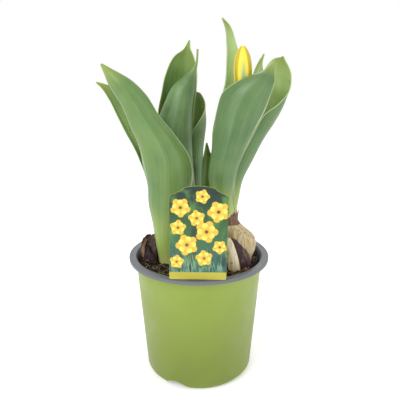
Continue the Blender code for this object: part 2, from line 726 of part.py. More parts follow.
def main():
    clear_scene()
    parts = make_collection("potted_tulip")
    cutters = make_collection("cutters")
    pot_green = make_material("pot_green", 0.45)
    soil = make_material("soil", 0.95)
    label = make_material("label", 0.3)
    leaf = make_material("leaf", 0.5)
    stem = make_material("stem", 0.5)
    bud_yellow = make_material("bud_yellow", 0.45)
    bud_green = make_material("bud_green", 0.5)
    bulb_skin = make_material("bulb_skin", 0.55)
    clove = make_material("clove", 0.5)

    build_pot(parts, cutters, pot_green)
    build_soil(parts, cutters, soil)
    build_label(parts, cutters, label)
    for name, rows in LEAVES.items():
        build_leaf(name, rows, parts, leaf)
    for name, (radius, points) in STEMS.items():
        build_stem(name, radius, points, parts, stem)
    for name, (foot, length, greatest, lean) in BUDS.items():
        material = bud_yellow if name == "bud_right" else bud_green
        build_bud(name, foot, length, greatest, lean, parts, material)

    bulb_left = ellipsoid(
        "bulb_left",
        BULB_LEFT_CENTRE,
        BULB_LEFT_RADII,
        (0.0, 0.0, 0.0),
        BULB_LEFT_FLAT,
        parts,
        cutters,
        bulb_skin,
    )
    shoot = (SHOOT_LEFT[0] * MM, SHOOT_LEFT[1] * MM)
    high = (BULB_LEFT_CENTRE[2] + 30) * MM
    low = (BULB_LEFT_FLAT - 6) * MM
    room = cylinder_cutter("shoot_room_left", shoot, SHOOT_ROOM_RADIUS * MM, low, high, cutters)
    cut(bulb_left, room)
    build_bulb_right(parts, cutters, clove)
    purple = ellipsoid(
        "clove_purple",
        CLOVE_PURPLE,
        CLOVE_PURPLE_RADII,
        (0.0, math.radians(CLOVE_PURPLE_LEAN), 0.0),
        CLOVE_FLAT,
        parts,
        cutters,
        bulb_skin,
    )
    cut(purple, hide_cutter(bulb_right_body("bulb_room", GAP, cutters)))
    ellipsoid(
        "clove_cream",
        CLOVE_CREAM,
        CLOVE_CREAM_RADII,
        (0.0, math.radians(CLOVE_CREAM_LEAN), 0.0),
        CLOVE_FLAT,
        parts,
        cutters,
        clove,
    )


main()
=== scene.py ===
"""The look of the potted tulip: fine leaves, bulbs, soil, pot and label around the CAD frame.

Metres, +Z up. The pot stands on z = 0 with its axis on Z, and its front faces -Y.
"""

import math
import random

import bmesh
import bpy
from mathutils import Matrix, Vector, noise


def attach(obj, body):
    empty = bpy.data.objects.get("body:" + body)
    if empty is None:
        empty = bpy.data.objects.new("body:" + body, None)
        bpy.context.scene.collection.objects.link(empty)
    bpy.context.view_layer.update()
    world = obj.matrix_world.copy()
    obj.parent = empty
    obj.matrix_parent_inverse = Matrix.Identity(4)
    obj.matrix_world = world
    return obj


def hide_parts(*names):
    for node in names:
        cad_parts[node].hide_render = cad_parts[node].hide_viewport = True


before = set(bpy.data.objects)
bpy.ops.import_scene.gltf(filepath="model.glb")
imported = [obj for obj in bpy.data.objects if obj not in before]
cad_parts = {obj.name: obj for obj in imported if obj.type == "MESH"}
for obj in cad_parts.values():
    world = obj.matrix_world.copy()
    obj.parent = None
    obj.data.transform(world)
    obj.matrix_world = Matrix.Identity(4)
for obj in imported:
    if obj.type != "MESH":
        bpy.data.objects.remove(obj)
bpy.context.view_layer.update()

MM = 0.001
SEED = 7
BODY = "root"

# The camera, at the photograph's viewing angle.
CAMERA_PLACE = (0.00093, -0.406, 0.270)
CAMERA_TILT = 74.0
CAMERA_LENS = 45.0
CAMERA_SENSOR = 36.0

POT_HEIGHT = 106.3 * MM
RIM_RADIUS = 60.0 * MM
RIM_INNER_RADIUS = 54.0 * MM
LIP_DEPTH = 3.0 * MM
BODY_TOP_RADIUS = 54.2 * MM
BODY_LOW_RADIUS = 46.6 * MM
BODY_LOW_Z = 5.3 * MM
FOOT_RADIUS = 42.9 * MM
FOOT_INNER_RADIUS = 38.0 * MM
POT_WALL = 1.8 * MM
POT_FLOOR_Z = 4.0 * MM
RECESS_Z = 1.5 * MM
RECESS_SLOPE = 1.5 * MM
FLOOR_CORNER = 4.0 * MM
FLOOR_CORNER_Z = BODY_LOW_Z + 2.0 * MM
RIM_EDGE = 0.8 * MM
RIM_FALL = 0.2 * MM
RIM_EDGE_DEPTH = 0.9 * MM
RIM_INNER_EDGE = 0.25 * MM
RIM_INNER_DEPTH = 0.6 * MM
LIP_THICKNESS = 1.4 * MM
LIP_SLOPE = 0.6 * MM
LIP_ROOM = 1.2 * MM
# Two steps in from the body's lower end round the foot's corner: how far in, and how far down.
FOOT_STEPS = ((0.35 * MM, 1.1 * MM), (1.2 * MM, 2.6 * MM))
POT_AROUND = 192

DRAIN_COUNT = 3
DRAIN_FIRST = math.radians(-115.0)
DRAIN_RADIUS = 13.2 * MM
DRAIN_HEIGHT = 6.5 * MM
DRAIN_INNER = 35.2 * MM
DRAIN_OUTER = 52.0 * MM
DRAIN_SIDES = 96

SOIL_Z = 102.5 * MM
SOIL_RELIEF = 1.3 * MM
SOIL_CLODS = 0.9 * MM
SOIL_GRIT = 0.5 * MM
SOIL_BANK = 1.2 * MM
SOIL_BANK_START = 38.0 * MM
SOIL_BANK_WIDTH = 12.0 * MM
SOIL_TOP_ROOM = 1.0 * MM
SOIL_DROP = 3.0 * MM
SOIL_SIDE_GAP = 0.6 * MM
SOIL_LOW_Z = BODY_LOW_Z + 3.0 * MM
SOIL_CORNER = 5.0 * MM
SOIL_FLOOR_Z = POT_FLOOR_Z + 0.3 * MM
CRUMB_REACH = 50.5 * MM
FIBRE_REACH = 51.0 * MM
ROOTLET_REACH = 51.5 * MM
SOIL_RINGS = 84
SOIL_AROUND = 220

TAG_WIDTH = 43.3 * MM
TAG_THICKNESS = 0.8 * MM
TAG_X = -0.8 * MM
TAG_Y = -56.6 * MM
TAG_CARD_BOTTOM = 107.0 * MM
TAG_SHOULDER_Z = 173.6 * MM
TAG_TOP_Z = 180.3 * MM
TAG_CORNER = 1.0 * MM
TAG_ARCH_INSET = 9.0 * MM
TAG_ARCH_RISE = 3.6 * MM
TAG_STAKE_Y = -46.4 * MM
TAG_STAKE_WIDTH = 14.0 * MM
TAG_STAKE_RISE = 0.2 * MM
TAG_STAKE_BOTTOM = 62.0 * MM
TAG_LEAN = math.radians(0.9)

LEAF_THICKNESS = 0.9 * MM
LEAF_LENGTHWISE = 96
LEAF_ACROSS = 44
# The waves of a blade's margins: their height in millimetres, and how many there are.
WAVE_HEIGHT = 0.9
WAVES = 2.6

SHOOT_LEFT = (-26.5, -8.0)
SHOOT_BACK = (-8.0, 25.0)
SHOOT_SIDE = (8.0, 40.0)

# A leaf is a run of cross-sections from its base to its tip, in millimetres. Each one gives its
# left margin, its keel and its right margin, and the blade follows the arc through the three.
LEAVES = {
    "leaf_left_front": (
        ((-32, -4, 96), (-26, -14.5, 96), (-21, -4, 96)),
        ((-33.5, -2, 112), (-27, -16.5, 112), (-19.5, -3, 112)),
        ((-37, -4, 138), (-27, -22, 138), (-14, -6, 138)),
        ((-41, -6, 156), (-25, -26, 157), (-9, -10, 157)),
        ((-42, -9, 171), (-24, -29, 178), (-5, -15, 176)),
        ((-45, -10, 185), (-24, -29, 193), (-7, -17, 193)),
        ((-47, -12, 202), (-30, -28, 209), (-19, -18, 212)),
        ((-53, -14, 218), (-39, -27, 223), (-31, -18, 227)),
        ((-61, -15, 236), (-49, -25, 239), (-40, -18, 242)),
        ((-68, -16, 248), (-58, -23, 251), (-51, -18, 253)),
        ((-71.5, -17, 258), (-68, -20, 260), (-65, -18, 261)),
        ((-73.5, -19, 264.5), (-72.8, -19.4, 264.8), (-72.2, -19, 265)),
    ),
    "leaf_left_back": (
        ((-30.5, -9, 96), (-26.5, -3.5, 96), (-22.5, -9, 96)),
        ((-31.5, -8, 112), (-27, -1, 112), (-22, -8, 112)),
        ((-34, -6, 138), (-27, 5, 138), (-17, -5, 138)),
        ((-40, -4, 160), (-31, 7, 160), (-21, -3, 160)),
        ((-47, -2, 183), (-39, 6, 187), (-30, 0, 191)),
        ((-52, -3, 197), (-43, 5, 201), (-33, -2, 207)),
        ((-58, -4, 209), (-50, 3, 213), (-40, -4, 220)),
        ((-65, -6, 225), (-58, 1, 228), (-49, -6, 233)),
        ((-71, -8, 239), (-66, -3, 242), (-59, -7, 244)),
        ((-76, -9, 247), (-74, -7, 248), (-71, -8, 249)),
        ((-79.8, -9, 250.6), (-79.4, -8.6, 251), (-79, -9, 251.4)),
    ),
    "leaf_back_tall": (
        ((-12, 24, 96), (-8, 29.5, 96), (-4, 24, 96)),
        ((-14, 26, 115), (-9, 32, 115), (-4, 25.5, 115)),
        ((-22, 28, 150), (-12, 36, 150), (-5, 28, 150)),
        ((-32, 28, 198), (-21, 38, 198), (-6, 28, 200)),
        ((-35, 27, 224), (-20, 39, 225), (-4, 30, 227)),
        ((-32, 27, 239), (-18, 38, 240), (-2, 31, 243)),
        ((-28, 28, 256), (-15, 37, 259), (-2, 32, 261)),
        ((-20, 30, 271), (-13, 35, 271), (-5, 33, 272)),
        ((-13, 32, 276), (-10, 34, 277), (-7, 33, 276)),
        ((-8.6, 34, 283), (-8, 34.4, 283.4), (-7.4, 34, 283)),
    ),
    "leaf_back_front": (
        ((-14.5, 26, 96), (-11, 19.2, 96), (-3.3, 20.3, 96)),
        ((-16.5, 26, 115), (-12, 16.5, 115), (-2.5, 18.5, 115)),
        ((-24, 24, 150), (-14, 10, 150), (-3, 17, 150)),
        ((-35, 20, 193), (-20, 6, 195), (-6, 17, 193)),
        ((-35, 20, 215), (-19, 6, 218), (-6, 17, 219)),
        ((-28, 20, 234), (-15, 8, 235), (-5, 18, 235)),
        ((-22, 20, 246), (-12, 11, 245), (-4, 20, 245)),
        ((-13, 20, 254), (-8, 15, 252), (-4, 21, 253)),
        ((-7, 21, 259), (-4.5, 19, 258), (-2, 22, 260)),
        ((-3.2, 22, 264), (-2, 21.4, 265), (-1, 22.4, 266)),
        ((-1.6, 24, 276), (-1, 23.6, 276), (-0.4, 24, 276)),
    ),
    "leaf_back_right": (
        ((-2, 22, 96), (-1.8, 27.5, 96), (-6.5, 31.6, 96)),
        ((-2.5, 21.5, 115), (0, 28, 115), (-6, 35, 115)),
        ((-5, 22, 140), (1.5, 27, 140), (-6, 37, 140)),
        ((-9, 22, 167), (1, 26, 165), (-8, 37, 166)),
        ((-9, 23, 192), (2, 27, 190), (-7, 38, 191)),
        ((-6, 22, 208), (4, 27, 209), (-6, 39, 214)),
        ((0, 22, 217), (5, 28, 222), (-5, 38, 235)),
        ((3, 23, 222), (5.4, 29, 229), (-4, 37, 241)),
        ((5, 26, 226), (5.4, 30, 231), (1, 35, 240)),
    ),
    "leaf_side_shoot": (
        ((4, 38, 96), (8, 43, 96), (12, 38, 96)),
        ((1, 38, 125), (7, 44, 125), (13, 38, 125)),
        ((-1, 38, 159), (6, 44, 158), (14, 38, 162)),
        ((2, 40, 175), (7, 45, 175), (13, 40, 180)),
        ((5, 42, 187), (7, 45, 187), (10, 42, 187)),
        ((6.4, 44, 195), (7, 44.4, 195), (7.6, 44, 195)),
    ),
    "leaf_right_front": (
        ((18.4, -14, 142), (23.4, -21.1, 142), (30.6, -16.3, 142)),
        ((13, -18, 160), (18, -28, 161), (27, -20, 160)),
        ((8, -22, 176), (17, -33, 179), (28, -23, 176)),
        ((10, -22, 200), (21, -34, 202), (35, -25, 200)),
        ((12, -22, 218), (25, -34, 218), (42, -26, 216)),
        ((14, -21, 232), (30, -33, 233), (50, -26, 232)),
        ((18, -20, 244), (35, -33, 244), (54, -26, 244)),
        ((27, -23.5, 251), (41, -32, 251), (56, -26, 253)),
        ((37, -24, 256), (47, -30, 256), (56, -24, 258)),
        ((48, -21, 260), (52, -25, 260), (56, -22, 261)),
        ((56.4, -20, 266), (57, -20.6, 266.3), (57.6, -20, 266)),
    ),
    "leaf_right_side": (
        ((30.7, -14.5, 142), (29.3, -10.9, 142), (25, -8.8, 142)),
        ((27.8, -17.4, 158), (32, -10, 156), (28, -4, 156)),
        ((28.6, -18.6, 176), (35.5, -10, 174), (32, -2, 176)),
        ((32.6, -19, 192), (43, -10, 190), (36, 1, 196)),
        ((41.5, -18.4, 213), (51, -11, 207), (41, 3, 217)),
        ((50, -18, 226), (59, -12, 222), (45, 5, 239)),
        ((62, -19, 236), (67, -11, 237), (49, 6, 253)),
        ((69, -18, 246), (68, -8, 250), (54, 5, 263)),
        ((70, -16, 257), (66, -7, 262), (58, 2, 268)),
        ((65.4, -6.4, 269.6), (65, -6, 270.2), (64.4, -5.6, 270)),
    ),
    "leaf_right_back": (
        ((26.6, -18.7, 142), (28.8, -15.5, 142), (27.5, -12, 142)),
        ((27.6, -15.5, 152), (29.2, -12, 152), (27.4, -8.5, 152)),
        ((27.4, -10, 165), (29.2, -6.6, 165), (27, -3, 165)),
        ((29, -5, 190), (32.5, 1, 190), (33, 5, 190)),
        ((33, 0, 214), (38, 6, 215), (42, 7, 216)),
        ((38, 4, 236), (44, 9, 238), (49, 8, 240)),
        ((42, 6, 252), (47, 10, 253), (52, 8, 256)),
        ((46, 8, 263), (48, 10, 264), (51, 9, 265)),
        ((51.6, 10, 272), (52, 10.4, 272.2), (52.6, 10, 272)),
    ),
    "leaf_right_tall": (
        ((20.3, -13.9, 142), (22.3, -11.3, 142), (25.5, -10.8, 142)),
        ((14, -10, 165), (19, -3, 165), (26, -5, 165)),
        ((11, -6, 191), (19, 2, 191), (27, -4, 192)),
        ((11, -5, 211), (20, 4, 212), (29, -2, 213)),
        ((15, -4, 231), (24, 6, 231), (33, 0, 232)),
        ((21, -3, 249), (27, 6, 249), (35, 1, 249)),
        ((22, -2, 267), (28, 5, 267), (33, 1, 267)),
        ((22, -2, 281), (25, 3, 282), (29, 1, 280)),
        ((20, -2, 293), (22, 1, 293), (24, 0, 293)),
        ((17.4, -2, 298), (18, -1.6, 298.4), (18.6, -2, 298)),
    ),
}

# Stem centre lines, in millimetres from the socket upwards, and the radius of each.
STEMS = {
    "stem_right": (2.4, ((24.5, -15, 142), (26, -14, 180), (31, -15, 225), (33.7, -15, 241.2))),
    "stem_left": (2.6, ((-26.5, -8, 96), (-26, -8, 130), (-26, -9, 163.7))),
    "stem_back": (2.6, ((-8, 25, 96), (-9.5, 25, 140), (-16, 22.5, 171.4))),
}

# A bud: where its base stands, its length and greatest radius in millimetres, and its lean.
BUDS = {
    "bud_right": ((33.9, -15, 241.7), 36.5, 6.9, -1.5),
    "bud_left": ((-26, -9, 164), 26.0, 5.0, -4.0),
    "bud_back": ((-16.2, 22.5, 172), 28.0, 5.2, -8.0),
}
BUD_LOBES = 3

BULB_LEFT_CENTRE = (-37.0, -2.0, 102.0)
BULB_LEFT_RADII = (13.4, 12.6, 22.0)

# The right bulb from its foot to its neck, in millimetres: its middle at each height, and its
# radius there.
BULB_RIGHT = (
    ((34.0, -13.0, 96.0), 8.6),
    ((34.2, -13.0, 103.0), 9.3),
    ((34.6, -13.0, 109.0), 10.4),
    ((35.2, -13.0, 115.0), 12.0),
    ((35.3, -13.2, 121.0), 12.8),
    ((34.2, -13.6, 126.0), 12.4),
    ((32.0, -14.0, 130.0), 11.3),
    ((29.0, -14.6, 134.0), 9.5),
    ((26.2, -15.0, 138.0), 7.9),
    ((24.8, -15.0, 141.0), 7.2),
    ((24.4, -15.0, 145.0), 7.2),
)
CLOVE_PURPLE = (34.0, -23.2, 104.0)
CLOVE_PURPLE_RADII = (9.8, 5.6, 25.5)
CLOVE_PURPLE_LEAN = -13.0
CLOVE_CREAM = (28.0, -31.4, 108.0)
CLOVE_CREAM_RADII = (5.0, 3.2, 24.0)
CLOVE_CREAM_LEAN = -11.0
# The height in millimetres at which the buried ovoids are cut flat.
BURIED_FLAT = 96.0


def srgb(red, green, blue):
    """A colour in display values from 0 to 255, as the linear values that a shader takes."""
    linear = []
    for value in (red, green, blue):
        share = value / 255
        linear.append(share / 12.92 if share <= 0.04045 else ((share + 0.055) / 1.055) ** 2.4)
    return (*linear, 1.0)


class Look:
    """A material, with short calls for its nodes."""

    def __init__(self, name, roughness, specular=0.5):
        self.material = bpy.data.materials.new(name)
        self.material.use_nodes = True
        self.tree = self.material.node_tree
        self.shader = self.tree.nodes["Principled BSDF"]
        self.shader.inputs["Roughness"].default_value = roughness
        self.shader.inputs["Specular IOR Level"].default_value = specular

    def feed(self, socket, value):
        if isinstance(value, bpy.types.NodeSocket):
            self.tree.links.new(value, socket)
        else:
            socket.default_value = value

    def add(self, kind, sockets, out=0, **settings):
        node = self.tree.nodes.new(kind)
        for key, value in settings.items():
            setattr(node, key, value)
        for key, value in sockets.items():
            self.feed(node.inputs[key], value)
        return node.outputs[out]

    def point(self, scale=(1.0, 1.0, 1.0)):
        """The point on the piece, in metres, stretched."""
        place = self.add("ShaderNodeTexCoord", {}, out=3)
        return self.add("ShaderNodeMapping", {"Vector": place, "Scale": scale})

    def grid(self, scale=(1.0, 1.0, 1.0)):
        """The place on the surface across and along, each from 0 to 1, stretched."""
        place = self.add("ShaderNodeUVMap", {}, uv_map="grid")
        return self.add("ShaderNodeMapping", {"Vector": place, "Scale": scale})

    def part(self, vector, axis):
        return self.add("ShaderNodeSeparateXYZ", {"Vector": vector}, out="XYZ".index(axis))

    def noise(self, vector, scale, detail=4.0, rough=0.55):
        sockets = {"Vector": vector, "Scale": scale, "Detail": detail, "Roughness": rough}
        return self.add("ShaderNodeTexNoise", sockets)

    def fit(self, value, low, high, to_low=0.0, to_high=1.0):
        """Takes low to high smoothly to the two given values."""
        sockets = {"Value": value, "From Min": low, "From Max": high}
        sockets.update({"To Min": to_low, "To Max": to_high})
        return self.add("ShaderNodeMapRange", sockets, interpolation_type="SMOOTHSTEP")

    def maths(self, operation, first, second=0.0):
        return self.add("ShaderNodeMath", {0: first, 1: second}, operation=operation)

    def off(self, value, middle):
        """How far a value is from the middle one."""
        return self.maths("ABSOLUTE", self.maths("SUBTRACT", value, middle))

    def mix(self, share, first, second):
        sockets = {0: share, 6: first, 7: second}
        return self.add("ShaderNodeMix", sockets, out=2, data_type="RGBA")

    def ramp(self, value, stops):
        node = self.tree.nodes.new("ShaderNodeValToRGB")
        self.feed(node.inputs[0], value)
        elements = node.color_ramp.elements
        while len(elements) < len(stops):
            elements.new(0.5)
        for element, (position, colour) in zip(elements, stops):
            element.position = position
            element.color = colour
        return node.outputs[0]

    def bump(self, height, strength, distance):
        sockets = {"Height": height, "Strength": strength, "Distance": distance}
        self.feed(self.shader.inputs["Normal"], self.add("ShaderNodeBump", sockets))

    def finish(self, colour, roughness=None):
        self.feed(self.shader.inputs["Base Color"], colour)
        if roughness is not None:
            self.feed(self.shader.inputs["Roughness"], roughness)
        return self.material


def plastic_look(name, high, low, mottle):
    """Satin moulded plastic, a little darker lower down, with faint rings from its mould."""
    look = Look(name, 0.42, 0.4)
    height = look.part(look.point(), "Z")
    colour = look.mix(look.fit(height, 0.0, POT_HEIGHT), low, high)
    blotch = look.noise(look.point(), 38.0, 3.0)
    colour = look.mix(look.fit(blotch, 0.35, 0.7, 0.0, 0.35), colour, mottle)
    speck = look.noise(look.point(), 1500.0, 2.0)
    colour = look.mix(look.fit(speck, 0.66, 0.74, 0.0, 0.22), colour, srgb(96, 104, 60))
    rings = look.noise(look.point((6.0, 6.0, 900.0)), 1.0, 2.0)
    grain = look.noise(look.point(), 2600.0, 2.0)
    look.bump(look.mix(0.6, rings, grain), 0.22, 0.12 * MM)
    return look.finish(colour, look.fit(blotch, 0.3, 0.7, 0.36, 0.5))


def soil_look(name, dark, light, share):
    """Damp fibrous soil: dark, with lighter crumbs and threads."""
    look = Look(name, 0.92, 0.25)
    crumb = look.noise(look.point(), 420.0, 6.0, 0.7)
    thread = look.noise(look.point((1600.0, 260.0, 900.0)), 1.0, 3.0)
    colour = look.mix(look.fit(crumb, 0.35, 0.75, 0.0, share), dark, light)
    colour = look.mix(look.fit(thread, 0.62, 0.74, 0.0, 0.5), colour, light)
    grit = look.noise(look.point(), 2400.0, 3.0)
    look.bump(look.mix(0.5, crumb, grit), 0.9, 0.6 * MM)
    return look.finish(colour)


def plain_look(name, colour, other, roughness, scale, depth):
    """One colour that drifts into another, over a fine relief."""
    look = Look(name, roughness, 0.4)
    drift = look.noise(look.point(), scale, 5.0)
    colour = look.mix(look.fit(drift, 0.35, 0.68), colour, other)
    look.bump(look.noise(look.point(), scale * 6, 3.0), 0.5, depth)
    return look.finish(colour)


# The palest part of a leaf, at the soil.
FOOT_TINT = srgb(196, 202, 124)


def leaf_look(name, blade, shade, base, tip, bloom, reach=0.34, fold=None):
    """A waxy tulip leaf: parallel veins, a pale foot, a yellower tip and patches of pale bloom.

    A fold is the place across the blade of a ridge along it, where a pale line is painted on as a painted
    highlight.
    """
    look = Look(name, 0.4, 0.45)
    flat = look.grid()
    across = look.part(flat, "X")
    along = look.part(flat, "Y")
    colour = look.mix(look.fit(look.noise(look.point(), 30.0, 3.0), 0.34, 0.66), shade, blade)
    bloom_share = look.fit(look.noise(look.grid((5.0, 2.4, 1.0)), 1.0, 5.0), 0.42, 0.74, 0.0, 0.45)
    colour = look.mix(bloom_share, colour, bloom)
    colour = look.mix(look.fit(along, reach, 0.04), colour, base)
    colour = look.mix(look.fit(along, 0.1, 0.03), colour, FOOT_TINT)
    colour = look.mix(look.fit(along, 0.86, 1.0), colour, tip)
    veins = look.noise(look.grid((150.0, 1.3, 1.0)), 1.0, 4.0, 0.6)
    broad = look.noise(look.grid((40.0, 0.7, 1.0)), 1.0, 2.0)
    streaks = look.mix(0.4, veins, broad)
    colour = look.mix(look.fit(streaks, 0.52, 0.68, 0.0, 0.26), colour, srgb(160, 184, 130))
    colour = look.mix(look.fit(streaks, 0.5, 0.34, 0.0, 0.3), colour, srgb(62, 92, 48))
    edge = look.off(across, 0.5)
    scar = look.noise(look.point((1.0, 1.0, 0.6)), 95.0, 4.0, 0.6)
    colour = look.mix(look.fit(scar, 0.64, 0.7, 0.0, 0.4), colour, srgb(96, 122, 50))
    colour = look.mix(look.fit(edge, 0.452, 0.49, 0.0, 0.85), colour, srgb(194, 214, 158))
    # Painted highlight: a pale line along the fold's ridge.
    if fold:
        off_fold = look.off(across, fold)
        colour = look.mix(look.fit(off_fold, 0.016, 0.002, 0.0, 0.6), colour, srgb(176, 196, 140))
    look.bump(look.mix(0.35, veins, look.noise(look.point(), 1300.0, 3.0)), 0.35, 0.12 * MM)
    return look.finish(colour, look.fit(bloom_share, 0.0, 0.65, 0.36, 0.55))


def skin_look(name, dark, light, flake):
    """Papery bulb skin with upright fibres and paler worn flakes."""
    look = Look(name, 0.5, 0.4)
    fibre = look.noise(look.point((900.0, 900.0, 70.0)), 1.0, 5.0, 0.65)
    wear = look.noise(look.point((1.0, 1.0, 0.7)), 120.0, 6.0, 0.62)
    colour = look.mix(look.fit(fibre, 0.36, 0.66), dark, light)
    colour = look.mix(look.fit(wear, 0.57, 0.66, 0.0, 0.85), colour, flake)
    look.bump(look.mix(0.5, fibre, wear), 0.6, 0.35 * MM)
    return look.finish(colour, look.fit(wear, 0.4, 0.65, 0.42, 0.68))


def flesh_look(name, pale, warm, spot):
    """Cream bulb flesh with faint upright veins and tan stains."""
    look = Look(name, 0.38, 0.5)
    vein = look.noise(look.point((700.0, 700.0, 60.0)), 1.0, 4.0)
    stain = look.noise(look.point((1.0, 1.0, 0.6)), 170.0, 5.0, 0.65)
    colour = look.mix(look.fit(vein, 0.38, 0.64), pale, warm)
    colour = look.mix(look.fit(stain, 0.58, 0.68, 0.0, 0.9), colour, spot)
    look.bump(look.mix(0.4, vein, stain), 0.4, 0.2 * MM)
    return look.finish(colour)


def petal_look(name, rim, flame, foot, flame_reach):
    """A closed petal: a pale green flame up its middle, and fine lines along it."""
    look = Look(name, 0.36, 0.45)
    flat = look.grid()
    middle = look.off(look.part(flat, "X"), 0.5)
    along = look.part(flat, "Y")
    ragged = look.noise(look.grid((26.0, 3.0, 1.0)), 1.0, 3.0)
    spread = look.maths("ADD", middle, look.fit(ragged, 0.3, 0.7, -0.07, 0.07))
    side = look.fit(spread, 0.3, 0.08)
    reach = look.fit(along, flame_reach, flame_reach - 0.45)
    colour = look.mix(look.maths("MULTIPLY", side, reach), rim, flame)
    colour = look.mix(look.fit(along, 0.2, 0.0), colour, foot)
    lines = look.noise(look.grid((90.0, 2.0, 1.0)), 1.0, 3.0)
    colour = look.mix(look.fit(lines, 0.42, 0.7, 0.0, 0.3), colour, foot)
    look.bump(lines, 0.3, 0.15 * MM)
    return look.finish(colour)


def print_petal_look(name, tip, heart):
    """A printed petal: deep at the flower's heart, paler at its tip, with fine lines along it."""
    look = Look(name, 0.3, 0.5)
    flat = look.grid()
    colour = look.mix(look.fit(look.part(flat, "Y"), 0.1, 0.8), heart, tip)
    middle = look.off(look.part(flat, "X"), 0.5)
    colour = look.mix(look.fit(middle, 0.25, 0.5, 0.0, 0.6), colour, heart)
    lines = look.noise(look.grid((26.0, 1.5, 1.0)), 1.0, 3.0)
    colour = look.mix(look.fit(lines, 0.45, 0.7, 0.0, 0.35), colour, heart)
    return look.finish(colour)


def add_object(name, data):
    """A new object for the data, in the scene."""
    made = bpy.data.objects.new(name, data)
    bpy.context.scene.collection.objects.link(made)
    return made


def mesh_piece(name, points, faces, looks, replaces=(), indices=None, grid=None, shaded=True):
    """One mesh that rides on the part, and stands for the named CAD nodes."""
    mesh = bpy.data.meshes.new(name)
    mesh.from_pydata([tuple(point) for point in points], [], faces)
    if grid is not None:
        layer = mesh.uv_layers.new(name="grid")
        for loop in mesh.loops:
            layer.data[loop.index].uv = grid[loop.vertex_index]
    for look in looks:
        mesh.materials.append(look)
    if indices is not None:
        mesh.polygons.foreach_set("material_index", indices)
    mesh.validate()
    mesh.polygons.foreach_set("use_smooth", [shaded] * len(mesh.polygons))
    piece = add_object(name, mesh)
    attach(piece, BODY)
    if replaces:
        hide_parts(*replaces)
    return piece


def tidy_normals(piece, angle=math.radians(35)):
    """Turns every face outwards, and keeps only edges sharper than the angle sharp."""
    bm = bmesh.new()
    bm.from_mesh(piece.data)
    bmesh.ops.recalc_face_normals(bm, faces=bm.faces)
    bm.to_mesh(piece.data)
    bm.free()
    piece.data.shade_smooth()
    piece.data.set_sharp_from_angle(angle=angle)


def around_point(x, y, reach, turn, z):
    """The point at a reach and a turn about an upright axis."""
    return Vector((x + reach * math.cos(turn), y + reach * math.sin(turn), z))


def lathe(rings, around):
    """Points and faces of a closed form turned about an upright axis.

    A ring is (radius, height, middle x, middle y), from the top down, and the two end rings have no
    radius.
    """
    points = []
    faces = []
    starts = []
    for radius, height, x, y in rings:
        starts.append(len(points))
        if radius == 0.0:
            points.append(Vector((x, y, height)))
            continue
        for step in range(around):
            points.append(around_point(x, y, radius, 2 * math.pi * step / around, height))
    marked = list(zip(rings, starts))
    for (upper, a), (lower, b) in zip(marked, marked[1:]):
        for step in range(around):
            after = (step + 1) % around
            if upper[0] == 0.0:
                faces.append((a, b + step, b + after))
            elif lower[0] == 0.0:
                faces.append((a + step, b, a + after))
            else:
                faces.append((a + step, b + step, b + after, a + after))
    return points, faces


def tube_faces(rings, around, start=0):
    """Quads between rings of points that follow each other, and a flat face at each end."""
    faces = []
    for ring in range(rings):
        low = start + ring * around
        for i in range(around):
            after = (i + 1) % around
            faces.append((low + i, low + after, low + around + after, low + around + i))
    last = start + rings * around
    faces.append(tuple(range(start + around - 1, start - 1, -1)))
    faces.append(tuple(range(last, last + around)))
    return faces


def sheet_faces(long, wide, start=0):
    """Faces of a thin sheet of long by wide cells: front and back in turn, then its edge.

    The points are the front's, line by line, and then the back's.
    """
    line = wide + 1
    layer = (long + 1) * line
    faces = []
    for step in range(long):
        for i in range(wide):
            a = start + step * line + i
            b = a + layer
            faces.append((a, a + 1, a + line + 1, a + line))
            faces.append((b, b + line, b + line + 1, b + 1))
    border = list(range(line))
    border += [step * line + wide for step in range(1, long + 1)]
    border += [long * line + i for i in range(wide - 1, -1, -1)]
    border += [step * line for step in range(long - 1, 0, -1)]
    for a, b in zip(border, border[1:] + border[:1]):
        faces.append((start + a, start + layer + a, start + layer + b, start + b))
    return faces


def smooth_run(points, share):
    """The point at a share of the way along a smooth run through the given points."""
    spans = [(b - a).length for a, b in zip(points, points[1:])]
    target = share * sum(spans)
    index = 0
    while index < len(spans) - 1 and target > spans[index]:
        target -= spans[index]
        index += 1
    t = min(1.0, target / spans[index])
    p1, p2 = points[index], points[index + 1]
    p0 = points[index - 1] if index else p1 * 2 - p2
    p3 = points[index + 2] if index + 2 < len(points) else p2 * 2 - p1
    span = spans[index]
    before = (p1 - p0).length
    after = (p3 - p2).length
    slope1 = (p2 - p1) / span - (p2 - p0) / (span + before) + (p1 - p0) / before
    slope2 = (p3 - p2) / after - (p3 - p1) / (after + span) + (p2 - p1) / span
    slope1 *= span
    slope2 *= span
    return (
        p1 * (2 * t**3 - 3 * t**2 + 1)
        + slope1 * (t**3 - 2 * t**2 + t)
        + p2 * (3 * t**2 - 2 * t**3)
        + slope2 * (t**3 - t**2)
    )


def arc_point(left, keel, right, share):
    """A point on the circular arc from left through keel to right, with the keel at share 0.5."""
    chord_a = keel - left
    chord_b = right - left
    normal = chord_a.cross(chord_b)
    if normal.length < 1e-3 * chord_a.length * chord_b.length:
        if share < 0.5:
            return left.lerp(keel, 2 * share)
        return keel.lerp(right, 2 * share - 1)
    to_centre = chord_b.length_squared * normal.cross(chord_a)
    to_centre += chord_a.length_squared * chord_b.cross(normal)
    centre = left + to_centre / (2 * normal.length_squared)
    normal.normalize()
    x_axis = (left - centre).normalized()
    y_axis = normal.cross(x_axis)
    radius = (left - centre).length

    def turn_of(point):
        offset = point - centre
        return math.atan2(offset.dot(y_axis), offset.dot(x_axis)) % (2 * math.pi)

    keel_turn = turn_of(keel)
    right_turn = turn_of(right)
    if share < 0.5:
        turn = keel_turn * 2 * share
    else:
        turn = keel_turn + (right_turn - keel_turn) * (2 * share - 1)
    return centre + radius * (x_axis * math.cos(turn) + y_axis * math.sin(turn))


